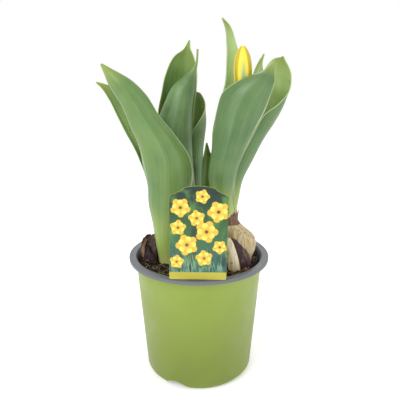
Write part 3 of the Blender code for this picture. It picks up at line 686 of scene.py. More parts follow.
RIBS = 11
RIB_HEIGHT = 0.07
FOLD = 0.15
FOLD_WIDTH = 0.03
FOLD_HEIGHT = 0.35
# Half the blade's thickness in millimetres, a little under the CAD's, and the margins' share of it.
BLADE_HALF = 0.92 * LEAF_THICKNESS / MM / 2
MARGIN_SHARE = 0.4


def leaf_rows(rows):
    """The blade's middle surface in millimetres, one list of points for each step along it."""
    surface = []
    for step in range(LEAF_LENGTHWISE + 1):
        along = step / LEAF_LENGTHWISE
        left, keel, right = (
            smooth_run([Vector(row[column]) for row in rows], along) for column in range(3)
        )
        outward = (keel - (left + right) / 2).normalized()
        height = WAVE_HEIGHT * math.sin(math.pi * along) ** 2
        left += outward * height * math.sin(2 * math.pi * WAVES * along)
        right += outward * height * math.cos(2 * math.pi * WAVES * along)
        line = [arc_point(left, keel, right, i / LEAF_ACROSS) for i in range(LEAF_ACROSS + 1)]
        surface.append((line, outward))
    return surface


def leaf_piece(name, rows, outer, inner, margin, fold):
    """A blade that thins to its margins, with low ribs along it."""
    surface = leaf_rows(rows)
    keel = LEAF_ACROSS // 2
    outside = []
    inside = []
    places = []
    for step, (line, outward) in enumerate(surface):
        along = step / LEAF_LENGTHWISE
        swell = math.sin(math.pi * along)
        ahead = surface[min(step + 1, LEAF_LENGTHWISE)][0]
        behind = surface[max(step - 1, 0)][0]
        facing = (ahead[keel] - behind[keel]).cross(line[keel + 1] - line[keel - 1])
        side = -1.0 if facing.dot(outward) < 0 else 1.0
        for i, point in enumerate(line):
            across = i / LEAF_ACROSS
            sideways = line[min(i + 1, LEAF_ACROSS)] - line[max(i - 1, 0)]
            normal = side * (ahead[i] - behind[i]).cross(sideways).normalized()
            body = math.sin(math.pi * across) ** 0.5
            half = BLADE_HALF * (MARGIN_SHARE + (1 - MARGIN_SHARE) * body)
            rib = RIB_HEIGHT * body * swell * math.cos(2 * math.pi * RIBS * across)
            if fold:
                rib += FOLD_HEIGHT * swell * math.exp(-(((across - fold) / FOLD_WIDTH) ** 2))
            outside.append((point + normal * (half + rib)) * MM)
            inside.append((point - normal * (half - rib)) * MM)
            places.append((across, along))
    faces = sheet_faces(LEAF_LENGTHWISE, LEAF_ACROSS)
    cells = LEAF_LENGTHWISE * LEAF_ACROSS
    indices = [0, 1] * cells + [2] * (len(faces) - 2 * cells)
    looks = (outer, inner, margin)
    points = outside + inside
    grid = places + places
    piece = mesh_piece(f"{name}_look", points, faces, looks, (name,), indices, grid)
    tidy_normals(piece, math.radians(60))


def build_leaves():
    tip = srgb(142, 160, 80)
    margin = plain_look(
        "leaf_margin", srgb(200, 216, 156), srgb(166, 190, 120), 0.45, 120.0, 0.05 * MM
    )
    fair = srgb(162, 184, 92)
    low = srgb(84, 114, 46)
    # One leaf material in lit and shaded copies: the back and side plants stand behind the others, so
    # their blades, shades and feet are painted darker as painted shade.
    plants = {
        "left": (srgb(108, 138, 72), srgb(92, 126, 70), fair, srgb(126, 154, 104), 0.44, FOLD),
        "back": (srgb(110, 142, 86), srgb(78, 112, 62), low, srgb(140, 168, 130), 0.42, None),
        "side": (srgb(80, 112, 44), srgb(60, 92, 34), low, srgb(96, 124, 62), 0.3, None),
        "right": (srgb(98, 128, 76), srgb(80, 114, 66), fair, srgb(114, 142, 100), 0.3, None),
    }
    # Inner sides per plant: the back and side ones are painted darker as painted shade, and the right one
    # is painted lighter as painted light, standing in for light where it lies in shade.
    insides = {
        "left": (srgb(152, 180, 112), srgb(130, 158, 90)),
        "back": (srgb(130, 160, 80), srgb(100, 134, 58)),
        "side": (srgb(110, 140, 66), srgb(84, 116, 48)),
        "right": (srgb(192, 216, 148), srgb(172, 198, 124)),
    }
    for plant, (blade, shade, base, bloom, reach, fold) in plants.items():
        outer = leaf_look(f"leaf_{plant}_outer", blade, shade, base, tip, bloom, reach, fold)
        light, dull = insides[plant]
        inner = leaf_look(f"leaf_{plant}_inner", light, dull, base, tip, srgb(166, 190, 138))
        for name, rows in LEAVES.items():
            if name.split("_")[1] == plant:
                leaf_piece(name, rows, outer, inner, margin, fold)


def stem_piece(name, radius, points, look):
    """A round stem along a smooth run, with a slow uneven swell."""
    run = [Vector(point) for point in points]
    count = 40
    around = 20
    made = []
    for step in range(count + 1):
        share = step / count
        centre = smooth_run(run, share)
        ahead = smooth_run(run, min(1.0, share + 0.02)) - smooth_run(run, max(0.0, share - 0.02))
        side = ahead.cross(Vector((0, 1, 0))).normalized()
        up = side.cross(ahead).normalized()
        reach = radius * (0.97 + 0.03 * math.sin(9 * share))
        for i in range(around):
            turn = 2 * math.pi * i / around
            made.append((centre + reach * (side * math.cos(turn) + up * math.sin(turn))) * MM)
    faces = tube_faces(count, around)
    piece = mesh_piece(f"{name}_look", made, faces, (look,), (name,))
    tidy_normals(piece, math.radians(50))


def bud_radius(share, greatest):
    """The radius at a share of the bud's height: full below the middle, drawn to a blunt point."""
    swell = math.sin(math.pi * min(1.0, share * 0.86 + 0.14) ** 1.25)
    return greatest * max(0.0, swell) ** 0.54


# Half the width of an outer petal at its foot, the share of it lost at the top, and its turn.
PETAL_HALF = math.radians(37.0)
PETAL_NARROWING = 0.25
PETAL_TURN = math.radians(-92.0)
# Shares of the bud's radius: the inner petals, the outer ones' step over them, and their crown.
PETAL_INNER = 0.955
PETAL_STEP = 0.055
PETAL_CROWN = 0.02
# How far the outer petals' edges waver, and how wide their step is.
PETAL_WAVER = math.radians(1.6)
PETAL_EDGE = math.radians(2.5)
# Fine ridges in a full turn and their height, and the bud's least radius, in millimetres.
PETAL_RIDGES = 34
PETAL_RIDGE = 0.05
BUD_TIP = 0.06


def petal_half(share):
    """Half the width of an outer petal at a share of the bud's height."""
    return PETAL_HALF * (1.0 - PETAL_NARROWING * share**3)


def petal_off(turn):
    """How far a turn is from the middle of the nearest outer petal."""
    third = 2 * math.pi / BUD_LOBES
    return (turn - PETAL_TURN + third / 2) % third - third / 2


def bud_piece(name, foot, length, greatest, lean, outer, inner):
    """A closed bud: three outer petals over three inner ones."""
    levels = 80
    around = 180
    made = []
    places = []
    indices = []
    swing = Matrix.Rotation(math.radians(lean), 3, "Y")
    base = Vector(foot)
    third = 2 * math.pi / BUD_LOBES
    for level in range(levels + 1):
        share = level / levels
        reach = max(BUD_TIP, bud_radius(share, greatest))
        half = petal_half(share)
        for i in range(around):
            turn = 2 * math.pi * i / around
            off = petal_off(turn)
            spot = Vector((share * 9, i * BUD_LOBES // around, 0.5))
            ragged = half + PETAL_WAVER * noise.noise(spot)
            rise = min(1.0, max(0.0, (ragged - abs(off)) / PETAL_EDGE))
            ridge = PETAL_RIDGE * math.cos(off * PETAL_RIDGES) * math.sin(math.pi * share)
            crown = 0.0
            place = 0.5 + (abs(off) - third / 2) / (third - 2 * half)
            if abs(off) < half:
                crown = PETAL_CROWN * math.cos(off * math.pi / 2 / half)
                place = 0.5 + 0.5 * off / half
            radius = reach * (PETAL_INNER + PETAL_STEP * rise + crown) + ridge
            made.append((base + swing @ around_point(0.0, 0.0, radius, turn, share * length)) * MM)
            places.append((place, share))
    for level in range(levels):
        half = petal_half((level + 0.5) / levels)
        for i in range(around):
            off = petal_off(2 * math.pi * (i + 0.5) / around)
            indices.append(0 if abs(off) < half else 1)
    indices += [1, 0]
    faces = tube_faces(levels, around)
    piece = mesh_piece(f"{name}_look", made, faces, (outer, inner), (name,), indices, places)
    tidy_normals(piece, math.radians(50))


def build_shoots():
    """The stems and their buds: the right one yellow, the others green."""
    stem = plain_look("stem_green", srgb(140, 166, 92), srgb(112, 144, 78), 0.42, 60.0, 0.08 * MM)
    for name, (radius, points) in STEMS.items():
        stem_piece(name, radius, points, stem)
    yellow = petal_look("petal_yellow", srgb(246, 226, 66), srgb(162, 186, 132), srgb(206, 200, 90), 0.84)
    gold = petal_look("petal_gold", srgb(214, 182, 42), srgb(150, 154, 48), srgb(150, 160, 60), 0.8)
    green = petal_look("petal_green", srgb(144, 164, 74), srgb(110, 138, 62), srgb(118, 140, 62), 1.2)
    for name, (foot, length, greatest, lean) in BUDS.items():
        if name == "bud_right":
            bud_piece(name, foot, length, greatest, lean, yellow, gold)
        else:
            bud_piece(name, foot, length, greatest, lean, green, green)


def pot_inner_radius(z):
    """The radius of the pot's inner wall at a height."""
    share = (z - BODY_LOW_Z) / (POT_HEIGHT - LIP_DEPTH - BODY_LOW_Z)
    outer = BODY_LOW_RADIUS + share * (BODY_TOP_RADIUS - BODY_LOW_RADIUS)
    return outer - POT_WALL


# Grey faces lie past the body's top radius and near the lip's foot by these amounts, or face the
# axis by more than this share.
GREY_REACH = 0.4 * MM
GREY_DROP = 0.1 * MM
GREY_FACING = 0.3


def build_pot():
    """The turned pot: green outside, and grey on its rim, its lip and its inner wall."""
    under_lip = POT_HEIGHT - LIP_DEPTH
    profile = (
        (0.0, POT_FLOOR_Z),
        (pot_inner_radius(FLOOR_CORNER_Z) - FLOOR_CORNER, POT_FLOOR_Z),
        (pot_inner_radius(FLOOR_CORNER_Z), FLOOR_CORNER_Z),
        (pot_inner_radius(under_lip), under_lip),
        (RIM_INNER_RADIUS, POT_HEIGHT - RIM_INNER_DEPTH),
        (RIM_INNER_RADIUS + RIM_INNER_EDGE, POT_HEIGHT - RIM_FALL),
        (RIM_INNER_RADIUS + RIM_EDGE, POT_HEIGHT),
        (RIM_RADIUS - RIM_EDGE, POT_HEIGHT - RIM_FALL),
        (RIM_RADIUS - RIM_FALL, POT_HEIGHT - 2 * RIM_FALL),
        (RIM_RADIUS, POT_HEIGHT - RIM_EDGE_DEPTH),
        (RIM_RADIUS, under_lip),
        (RIM_RADIUS - LIP_THICKNESS, under_lip),
        (RIM_RADIUS - LIP_THICKNESS - LIP_SLOPE, under_lip + LIP_ROOM),
        (BODY_TOP_RADIUS + RIM_EDGE, under_lip + LIP_ROOM),
        (BODY_TOP_RADIUS, under_lip),
        (BODY_LOW_RADIUS, BODY_LOW_Z),
        *((BODY_LOW_RADIUS - inward, BODY_LOW_Z - down) for inward, down in FOOT_STEPS),
        (FOOT_RADIUS, 0.0),
        (FOOT_INNER_RADIUS, 0.0),
        (FOOT_INNER_RADIUS - RECESS_SLOPE, RECESS_Z),
        (0.0, RECESS_Z),
    )
    points, faces = lathe([(radius, z, 0.0, 0.0) for radius, z in profile], POT_AROUND)
    green = plastic_look("pot_green_look", srgb(140, 160, 62), srgb(112, 128, 42), srgb(130, 146, 54))
    grey = plastic_look("pot_grey_look", srgb(106, 110, 114), srgb(102, 106, 112), srgb(112, 115, 120))
    pot = mesh_piece("pot_look", points, faces, (green, grey), ("pot",))
    tidy_normals(pot)
    for index in range(DRAIN_COUNT):
        turn = DRAIN_FIRST + index * 2 * math.pi / DRAIN_COUNT
        notch = cylinder("notch", DRAIN_RADIUS, DRAIN_OUTER - DRAIN_INNER, DRAIN_SIDES)
        reach = (DRAIN_INNER + DRAIN_OUTER) / 2
        notch.location = around_point(0.0, 0.0, reach, turn, DRAIN_HEIGHT - DRAIN_RADIUS)
        notch.rotation_euler = (0.0, math.radians(90), turn)
        combine(pot, notch)
    for face in pot.data.polygons:
        out = math.hypot(face.center.x, face.center.y)
        facing = face.normal.x * face.center.x + face.normal.y * face.center.y
        lip = out > BODY_TOP_RADIUS + GREY_REACH and face.center.z > under_lip - GREY_DROP
        inner = facing < -GREY_FACING * out
        face.material_index = 1 if lip or inner or face.center.z > under_lip else 0


def cylinder(name, radius, depth, sides):
    """A plain cylinder about the origin, along Z."""
    bm = bmesh.new()
    bmesh.ops.create_cone(
        bm, cap_ends=True, segments=sides, radius1=radius, radius2=radius, depth=depth
    )
    mesh = bpy.data.meshes.new(name)
    bm.to_mesh(mesh)
    bm.free()
    return add_object(name, mesh)


def combine(piece, other, operation="DIFFERENCE"):
    """Takes the other's volume off the piece, or adds it, and removes the other."""
    modifier = piece.modifiers.new("combine", "BOOLEAN")
    modifier.object = other
    modifier.operation = operation
    modifier.solver = "EXACT"
    bpy.context.view_layer.update()
    graph = bpy.context.evaluated_depsgraph_get()
    mesh = bpy.data.meshes.new_from_object(piece.evaluated_get(graph))
    piece.modifiers.clear()
    piece.data = mesh
    mesh.set_sharp_from_angle(angle=math.radians(35))
    bpy.data.objects.remove(other, do_unlink=True)


def soil_height(x, y):
    """Low waves with clods and grit over them, and a bank up to the pot's wall."""
    waves = math.sin(210 * x + 1.1) * math.cos(190 * y - 0.4)
    waves += 0.6 * math.sin(420 * x - 260 * y + 2.0)
    height = SOIL_Z + SOIL_RELIEF * waves / 1.6
    bank = (math.hypot(x, y) - SOIL_BANK_START) / SOIL_BANK_WIDTH
    height += SOIL_BANK * min(1.0, max(0.0, bank)) ** 2
    height += SOIL_CLODS * noise.noise(Vector((x, y, 0.0)) * 260)
    height += SOIL_GRIT * noise.noise(Vector((x, y, 0.1)) * 700)
    return height


def build_soil():
    """The soil fills the pot up to its uneven top, and carries the loose bits."""
    edge = pot_inner_radius(SOIL_Z - SOIL_DROP) - SOIL_SIDE_GAP
    bottom = pot_inner_radius(SOIL_LOW_Z) - SOIL_SIDE_GAP
    profile = [(edge * i / SOIL_RINGS, SOIL_Z) for i in range(SOIL_RINGS + 1)]
    profile += [(edge, SOIL_Z - SOIL_DROP), (bottom, SOIL_LOW_Z)]
    profile += [(bottom - SOIL_CORNER, SOIL_FLOOR_Z), (0.0, SOIL_FLOOR_Z)]
    points, faces = lathe([(radius, z, 0.0, 0.0) for radius, z in profile], SOIL_AROUND)
    for point in points:
        if point.z > SOIL_Z - SOIL_DROP / 2:
            point.z = min(soil_height(point.x, point.y), POT_HEIGHT - SOIL_TOP_ROOM)
    dark = soil_look("soil_dark", srgb(20, 14, 11), srgb(60, 44, 32), 0.45)
    soil = mesh_piece("soil_look", points, faces, (dark,), ("soil",))
    tidy_normals(soil, math.radians(80))
    build_soil_bits(dark)


def clear_spot(rng, keep):
    """A place on the soil away from what grows out of it."""
    while True:
        reach = CRUMB_REACH * math.sqrt(rng.random())
        turn = rng.uniform(0.0, 2 * math.pi)
        x = reach * math.cos(turn)
        y = reach * math.sin(turn)
        if all(math.hypot(x - kx * MM, y - ky * MM) > kr * MM for kx, ky, kr in keep):
            return x, y


def add_crumb(points, faces, centre, size, rng, flat=1.0):
    """An uneven lump with eight sides."""
    start = len(points)
    spin = Matrix.Rotation(rng.uniform(0, 2 * math.pi), 3, "Z")
    spin = spin @ Matrix.Rotation(rng.uniform(-0.5, 0.5), 3, "X")
    corners = [(1, 0, 0), (0, 1, 0), (-1, 0, 0), (0, -1, 0), (0, 0, 1), (0, 0, -1)]
    for corner in corners:
        lump = Vector(corner) * size * rng.uniform(0.6, 1.25)
        lump.z *= flat
        points.append(centre + spin @ lump)
    for a, b in ((0, 1), (1, 2), (2, 3), (3, 0)):
        faces.append((start + a, start + b, start + 4))
        faces.append((start + b, start + a, start + 5))
    return 8


def add_thread(points, faces, run, radius):
    """A thin three-sided thread along a run of points."""
    start = len(points)
    for index, point in enumerate(run):
        ahead = run[min(index + 1, len(run) - 1)] - run[max(index - 1, 0)]
        side = ahead.cross(Vector((0.0, 0.3, 1.0))).normalized()
        up = side.cross(ahead).normalized()
        thin = radius * (0.5 if index in (0, len(run) - 1) else 1.0)
        for i in range(3):
            turn = 2 * math.pi * i / 3
            points.append(point + thin * (side * math.cos(turn) + up * math.sin(turn)))
    faces += tube_faces(len(run) - 1, 3, start)
    return 3 * (len(run) - 1) + 2


# Loose bits on the soil: how many, their least and greatest size in millimetres, how flat they
# are, and which of the four looks they have.
SOIL_BITS = ((1500, 0.35, 1.15, 0.8, 0), (170, 0.8, 2.1, 0.3, 1), (60, 0.35, 0.8, 0.8, 3))
FIBRES = 560


def build_soil_bits(dark):
    """Crumbs, bark, threads and a few pale grains on the soil."""
    rng = random.Random(SEED)
    keep = [
        (*SHOOT_LEFT, 9.5),
        (*SHOOT_BACK, 8.5),
        (*SHOOT_SIDE, 6.5),
        (*BULB_LEFT_CENTRE[:2], 12.5),
        (*BULB_RIGHT[0][0][:2], 10.0),
        (*CLOVE_PURPLE[:2], 8.0),
        (*CLOVE_CREAM[:2], 4.5),
    ]
    bark = soil_look("soil_bark", srgb(40, 27, 20), srgb(92, 68, 48), 0.6)
    fibre = plain_look("soil_fibre", srgb(150, 128, 96), srgb(58, 42, 30), 0.85, 190.0, 0.05 * MM)
    pale = plain_look("soil_pale", srgb(206, 198, 178), srgb(160, 146, 120), 0.8, 400.0, 0.1 * MM)
    points = []
    faces = []
    indices = []
    for count, least, most, flat, index in SOIL_BITS:
        for _ in range(count):
            x, y = clear_spot(rng, keep)
            size = rng.uniform(least, most) * MM
            centre = Vector((x, y, soil_height(x, y) + size * flat * 0.35))
            indices += [index] * add_crumb(points, faces, centre, size, rng, flat)
    for _ in range(FIBRES):
        x, y = clear_spot(rng, keep)
        turn = rng.uniform(0.0, 2 * math.pi)
        length = rng.uniform(2.5, 9.0) * MM
        bend = rng.uniform(-0.9, 0.9)
        run = []
        for i in range(7):
            share = i / 6
            angle = turn + bend * share
            px = x + length * (share - 0.5) * math.cos(angle)
            py = y + length * (share - 0.5) * math.sin(angle)
            if math.hypot(px, py) > FIBRE_REACH:
                continue
            lift = rng.uniform(0.1, 0.8) * MM + 1.1 * MM * math.sin(math.pi * share)
            run.append(Vector((px, py, soil_height(px, py) + lift)))
        if len(run) > 2:
            indices += [2] * add_thread(points, faces, run, rng.uniform(0.12, 0.3) * MM)
    looks = (dark, bark, fibre, pale)
    mesh_piece("soil_bits", points, faces, looks, (), indices, None, False)


def skin_relief(point, amount):
    """Uneven upright folds and dents of a bulb's skin, in metres."""
    folds = noise.noise(Vector((point.x * 420, point.y * 420, point.z * 45)))
    dents = noise.noise(point * 130)
    return amount * (0.6 * folds + 0.6 * dents)


def ovoid(name, centre, radii, lean, look, slot, relief):
    """A fine ovoid with an uneven skin, cut flat where it stands."""
    rings = []
    levels = 90
    for level in range(levels + 1):
        turn = math.pi * level / levels
        rings.append((0.0 if level in (0, levels) else math.sin(turn), math.cos(turn), 0.0, 0.0))
    points, faces = lathe(rings, 120)
    swing = Matrix.Rotation(math.radians(lean), 3, "Y")
    middle = Vector(centre) * MM
    made = []
    for point in points:
        place = Vector(point[i] * radii[i] * MM for i in range(3))
        outward = Vector(point[i] / radii[i] for i in range(3)).normalized()
        place += outward * (skin_relief(place + middle, relief) - relief * 0.5)
        place = middle + swing @ place
        place.z = max(place.z, BURIED_FLAT * MM)
        made.append(place)
    piece = mesh_piece(f"{name}_look", made, faces, (look,), (name,))
    tidy_normals(piece, math.radians(60))
    return piece


def bulb_middle(z):
    """The right bulb's middle and radius at a height, in millimetres."""
    run = [Vector((radius, middle[0], middle[1])) for middle, radius in BULB_RIGHT]
    heights = [middle[2] for middle, radius in BULB_RIGHT]
    for low, high, a, b in zip(heights, heights[1:], run, run[1:]):
        if z <= high:
            return a.lerp(b, (z - low) / (high - low))
    return run[-1]


# The room for the left shoot in its bulb.
ROOM_RADIUS = 10.6 * MM
ROOM_LENGTH = 60.0 * MM
ROOM_Z = 118.0 * MM
# The right bulb's papery neck, in millimetres: where the paper starts on the bulb and how far that
# edge strays, and the foot and the middle height of the loose paper.
PAPER_EDGE = 139.5
PAPER_TEAR = 2.5
PAPER_FOOT = 138.5
PAPER_TOP = 147.5


def build_bulbs():
    """Both bulbs that show, the two cloves, and their loose skins and rootlets."""
    skin = skin_look("skin_dark", srgb(36, 20, 22), srgb(66, 40, 40), srgb(104, 74, 56))
    purple = skin_look("skin_purple", srgb(52, 32, 38), srgb(88, 60, 62), srgb(128, 104, 84))
    cream = flesh_look("flesh_cream", srgb(206, 190, 150), srgb(172, 146, 98), srgb(112, 78, 48))
    pale = flesh_look("flesh_pale", srgb(238, 228, 194), srgb(212, 194, 152), srgb(148, 110, 70))
    paper = skin_look("skin_paper", srgb(84, 58, 42), srgb(136, 104, 74), srgb(176, 146, 108))

    left = ovoid("bulb_left", BULB_LEFT_CENTRE, BULB_LEFT_RADII, 0.0, skin, "bulb_skin", 1.3 * MM)
    room = cylinder("room", ROOM_RADIUS, ROOM_LENGTH, 72)
    room.location = (SHOOT_LEFT[0] * MM, SHOOT_LEFT[1] * MM, ROOM_Z)
    combine(left, room)
    shape = (CLOVE_PURPLE, CLOVE_PURPLE_RADII, CLOVE_PURPLE_LEAN)
    ovoid("clove_purple", *shape, purple, "bulb_skin", 0.6 * MM)
    shape = (CLOVE_CREAM, CLOVE_CREAM_RADII, CLOVE_CREAM_LEAN)
    ovoid("clove_cream", *shape, pale, "clove", 0.35 * MM)
    build_bulb_right(cream, paper)
    build_flakes(skin, paper, purple)
    build_neck_paper(paper)
    build_rootlets()


def build_bulb_right(flesh, paper):
    """The right bulb: bare flesh, with papery skin left on its neck."""
    foot = BULB_RIGHT[0][0][2]
    neck = BULB_RIGHT[-1][0][2]
    rings = [(0.0, neck * MM, BULB_RIGHT[-1][0][0] * MM, BULB_RIGHT[-1][0][1] * MM)]
    levels = 100
    for level in range(levels + 1):
        z = neck + (foot - neck) * level / levels
        radius, x, y = bulb_middle(z)
        rings.append((radius * MM, z * MM, x * MM, y * MM))
    rings.append((0.0, foot * MM, rings[-1][2], rings[-1][3]))
    points, faces = lathe(rings, 120)
    for point in points:
        _, x, y = bulb_middle(point.z / MM)
        outward = Vector((point.x - x * MM, point.y - y * MM, 0.0))
        if outward.length > 1 * MM:
            point += outward.normalized() * (skin_relief(point, 0.5 * MM) - 0.2 * MM)
    bulb = mesh_piece("bulb_right_look", points, faces, (flesh, paper), ("bulb_right",))
    tidy_normals(bulb, math.radians(60))
    for face in bulb.data.polygons:
        torn = PAPER_EDGE + PAPER_TEAR * noise.noise(face.center * 160)
        if face.center.z / MM > torn:
            face.material_index = 1


# Torn flakes on the left bulb: the turn, the lowest and highest z, the width and the curl of each,
# and which of the three skins it is.
LEFT_FLAKES = (
    (-146.0, 106.0, 121.0, 5.0, 1.6, 1),
    (-118.0, 101.0, 117.0, 6.5, 1.2, 0),
    (-168.0, 102.0, 123.0, 6.0, 1.8, 0),
    (-100.0, 100.0, 111.0, 5.5, 0.9, 2),
    (170.0, 104.0, 119.0, 5.5, 1.4, 1),
    (128.0, 103.0, 121.0, 7.0, 1.6, 0),
    (92.0, 102.0, 118.0, 6.0, 1.2, 0),
)
FLAKE_THICKNESS = 0.35


def build_flakes(skin, paper, purple):
    """Papery flakes that stand a little off the left bulb and curl outwards at their tops."""
    wide = 9
    tall = 16
    points = []
    faces = []
    indices = []
    for number, (turn, low, high, width, curl, index) in enumerate(LEFT_FLAKES):
        start = len(points)
        for side in (0.0, FLAKE_THICKNESS):
            for level in range(tall + 1):
                share = level / tall
                z = low + (high - low) * share
                up = min(0.97, abs(z - BULB_LEFT_CENTRE[2]) / BULB_LEFT_RADII[2])
                slim = math.sqrt(1 - up * up)
                for i in range(wide + 1):
                    across = i / wide - 0.5
                    ragged = noise.noise(Vector((number * 5.0, across * 6, 0.3)))
                    narrow = 1.0 - 0.55 * share**2
                    angle = math.radians(turn) + across * narrow * width / 13.0
                    dent = noise.noise(Vector((number * 3.0, across * 4, share * 5)))
                    off = 0.5 + curl * share**2 * (1 + ragged) + 0.4 * dent
                    reach_x = BULB_LEFT_RADII[0] * slim + off - side
                    reach_y = BULB_LEFT_RADII[1] * slim + off - side
                    x = BULB_LEFT_CENTRE[0] + reach_x * math.cos(angle)
                    y = BULB_LEFT_CENTRE[1] + reach_y * math.sin(angle)
                    points.append(Vector((x, y, z + 2.2 * ragged * share)) * MM)
        faces += sheet_faces(tall, wide, start)
        indices += [index] * (len(faces) - len(indices))
    piece = mesh_piece("skin_flakes", points, faces, (skin, paper, purple), (), indices)
    tidy_normals(piece, math.radians(50))


def build_neck_paper(paper):
    """Torn papery skin that stands round the right plant's shoot."""
    around = 160
    points = []
    faces = []
    levels = 10
    for side in (0, 1):
        for level in range(levels + 1):
            share = level / levels
            for i in range(around):
                turn = 2 * math.pi * i / around
                tear = noise.noise(Vector((math.cos(turn), math.sin(turn), 0.4)) * 2.6)
                tear += 0.5 * noise.noise(Vector((math.cos(turn), math.sin(turn), 2.0)) * 9)
                top = PAPER_TOP + 5.0 * tear
                z = PAPER_FOOT + (top - PAPER_FOOT) * share
                radius, x, y = bulb_middle(min(z, 145))
                curl = 0.25 + 1.3 * max(0.0, share - 0.45) * (1 + 1.2 * tear)
                reach = radius + curl - 0.4 * side
                points.append(around_point(x, y, reach, turn, z) * MM)
    layer = (levels + 1) * around
    for level in range(levels):
        for i in range(around):
            a = level * around + i
            b = level * around + (i + 1) % around
            faces.append((a, b, b + around, a + around))
            faces.append((layer + a, layer + a + around, layer + b + around, layer + b))
    for level in (0, levels):
        for i in range(around):
            a = level * around + i
            b = level * around + (i + 1) % around
            faces.append((a, layer + a, layer + b, b))
    piece = mesh_piece("neck_paper", points, faces, (paper,))
    tidy_normals(piece, math.radians(50))


# Rootlets: how many, and the ring that they start on, in millimetres.
ROOTLETS = 46
ROOTLET_MIDDLE = (29.5, -25.0)
ROOTLET_RING = 9.5


def build_rootlets():
    """Short orange-brown rootlets at the foot of the right bulb."""
    rng = random.Random(SEED + 1)
    look = plain_look("rootlet", srgb(176, 122, 72), srgb(126, 80, 44), 0.6, 300.0, 0.05 * MM)
    points = []
    faces = []
    for _ in range(ROOTLETS):
        turn = math.radians(rng.uniform(-160, -20))
        x = ROOTLET_MIDDLE[0] + ROOTLET_RING * math.cos(turn)
        y = ROOTLET_MIDDLE[1] + ROOTLET_RING * math.sin(turn)
        length = rng.uniform(3.0, 7.5)
        top = rng.uniform(101.0, 105.5)
        bend = rng.uniform(-0.8, 0.8)
        run = []
        for i in range(6):
            share = i / 5
            angle = turn + bend * share
            reach = length * share
            px = (x + reach * math.cos(angle)) * MM
            py = (y + reach * math.sin(angle)) * MM
            if math.hypot(px, py) > ROOTLET_REACH:
                continue
            z = max(soil_height(px, py) + 0.3 * MM, (top - 6.0 * share) * MM)
            run.append(Vector((px, py, z)))
        if len(run) > 2:
            add_thread(points, faces, run, rng.uniform(0.18, 0.34) * MM)
    mesh_piece("rootlets", points, faces, (look,))


def card_outline(inset=0.0):
    """The card's outline from its lower right corner round, as (x, height)."""
    half = TAG_WIDTH / 2 - inset
    low = TAG_CARD_BOTTOM + inset
    shoulder = TAG_SHOULDER_Z - inset
    outline = [
        (half - TAG_CORNER, low),
        (half - 0.3 * TAG_CORNER, low + 0.3 * TAG_CORNER),
        (half, low + TAG_CORNER),
        (half, shoulder - 1.5 * MM),
        (half - 1.0 * MM, shoulder - 0.4 * MM),
    ]
    arch_half = half - TAG_ARCH_INSET
    arch_start = shoulder + TAG_ARCH_RISE
    steps = 40
    for step in range(steps + 1):
        turn = math.pi * step / steps
        rise = (TAG_TOP_Z - inset - arch_start) * math.sin(turn)
        outline.append((arch_half * math.cos(turn), arch_start + rise))
    return outline + [(-x, z) for x, z in reversed(outline[:5])]


def add_plate(points, faces, outline, low, high):
    """A thin plate with the given outline, between two distances in front of the card."""
    start = len(points)
    count = len(outline)
    for depth in (low, high):
        points.extend(Vector((x, z - TAG_CARD_BOTTOM, depth)) for x, z in outline)
    faces.append(tuple(range(start + count - 1, start - 1, -1)))
    faces.append(tuple(range(start + count, start + 2 * count)))
    for i in range(count):
        after = (i + 1) % count
        faces.append((start + i, start + after, start + count + after, start + count + i))
    return count + 2


def on_card(piece):
    """Stands a flat piece up at the card's place, with the card's lean."""
    turn = Matrix.Rotation(TAG_LEAN, 4, "Y") @ Matrix.Rotation(math.radians(90), 4, "X")
    piece.data.transform(Matrix.Translation((TAG_X, TAG_Y, TAG_CARD_BOTTOM)) @ turn)


# Generic round flowers for the card: middle x, middle height and reach, in millimetres.
FLOWERS = (
    (2.5, 172.5, 5.6),
    (-13.5, 164.0, 7.6),
    (14.5, 161.0, 8.4),
    (-1.5, 156.0, 6.4),
    (-15.2, 148.5, 6.2),
    (6.0, 145.5, 8.8),
    (16.0, 133.5, 5.6),
    (-8.5, 135.0, 8.6),
    (4.5, 124.5, 6.6),
    (-16.0, 121.5, 5.6),
)
# The bare band's top, and how far grass and petals reach to each side, in millimetres.
BAND_Z = 113.0
GRASS_EDGE = 21.0
BLOOM_EDGE = 21.3
GRASS_BLADES = 70
FLOWER_PETALS = 5
PETAL_POINTS = 20
HEART_POINTS = 16
# The print's distance from the card's edge, and the depths at which its plates start and end.
PRINT_INSET = 0.08 * MM
PRINT_BASE = TAG_THICKNESS / 2 + 0.01 * MM
FIELD_TOP = TAG_THICKNESS / 2 + 0.02 * MM


def build_card():
    """The card, with a tongue that bends back across the pot's rim and down into the soil."""
    look = plain_look("card", srgb(186, 178, 62), srgb(176, 168, 56), 0.32, 40.0, 0.02 * MM)
    half = TAG_THICKNESS / 2
    points = []
    faces = []
    add_plate(points, faces, card_outline(), -half, half)
    card = mesh_piece("label_look", points, faces, (look,), ("label",))
    on_card(card)
    stake = TAG_STAKE_WIDTH / 2
    tongue_low = TAG_CARD_BOTTOM + TAG_STAKE_RISE
    tongue_top = tongue_low + TAG_THICKNESS
    front = TAG_STAKE_Y - half
    back = TAG_STAKE_Y + half
    side = [
        (TAG_Y, tongue_low),
        (front - half, tongue_low),
        (front, tongue_low - half),
        (front, TAG_STAKE_BOTTOM),
        (back, TAG_STAKE_BOTTOM),
        (back, tongue_top - TAG_THICKNESS),
        (back - half, tongue_top),
        (TAG_Y, tongue_top),
    ]
    count = len(side)
    bent = [Vector((TAG_X - stake, y, z)) for y, z in side]
    bent += [Vector((TAG_X + stake, y, z)) for y, z in side]
    walls = [tuple(range(count)), tuple(range(2 * count - 1, count - 1, -1))]
    for i in range(count):
        after = (i + 1) % count
        walls.append((i, count + i, count + after, after))
    mesh = bpy.data.meshes.new("stake")
    mesh.from_pydata([tuple(point) for point in bent], [], walls)
    tongue = add_object("stake", mesh)
    tidy_normals(tongue)
    tidy_normals(card)
    combine(card, tongue, "UNION")


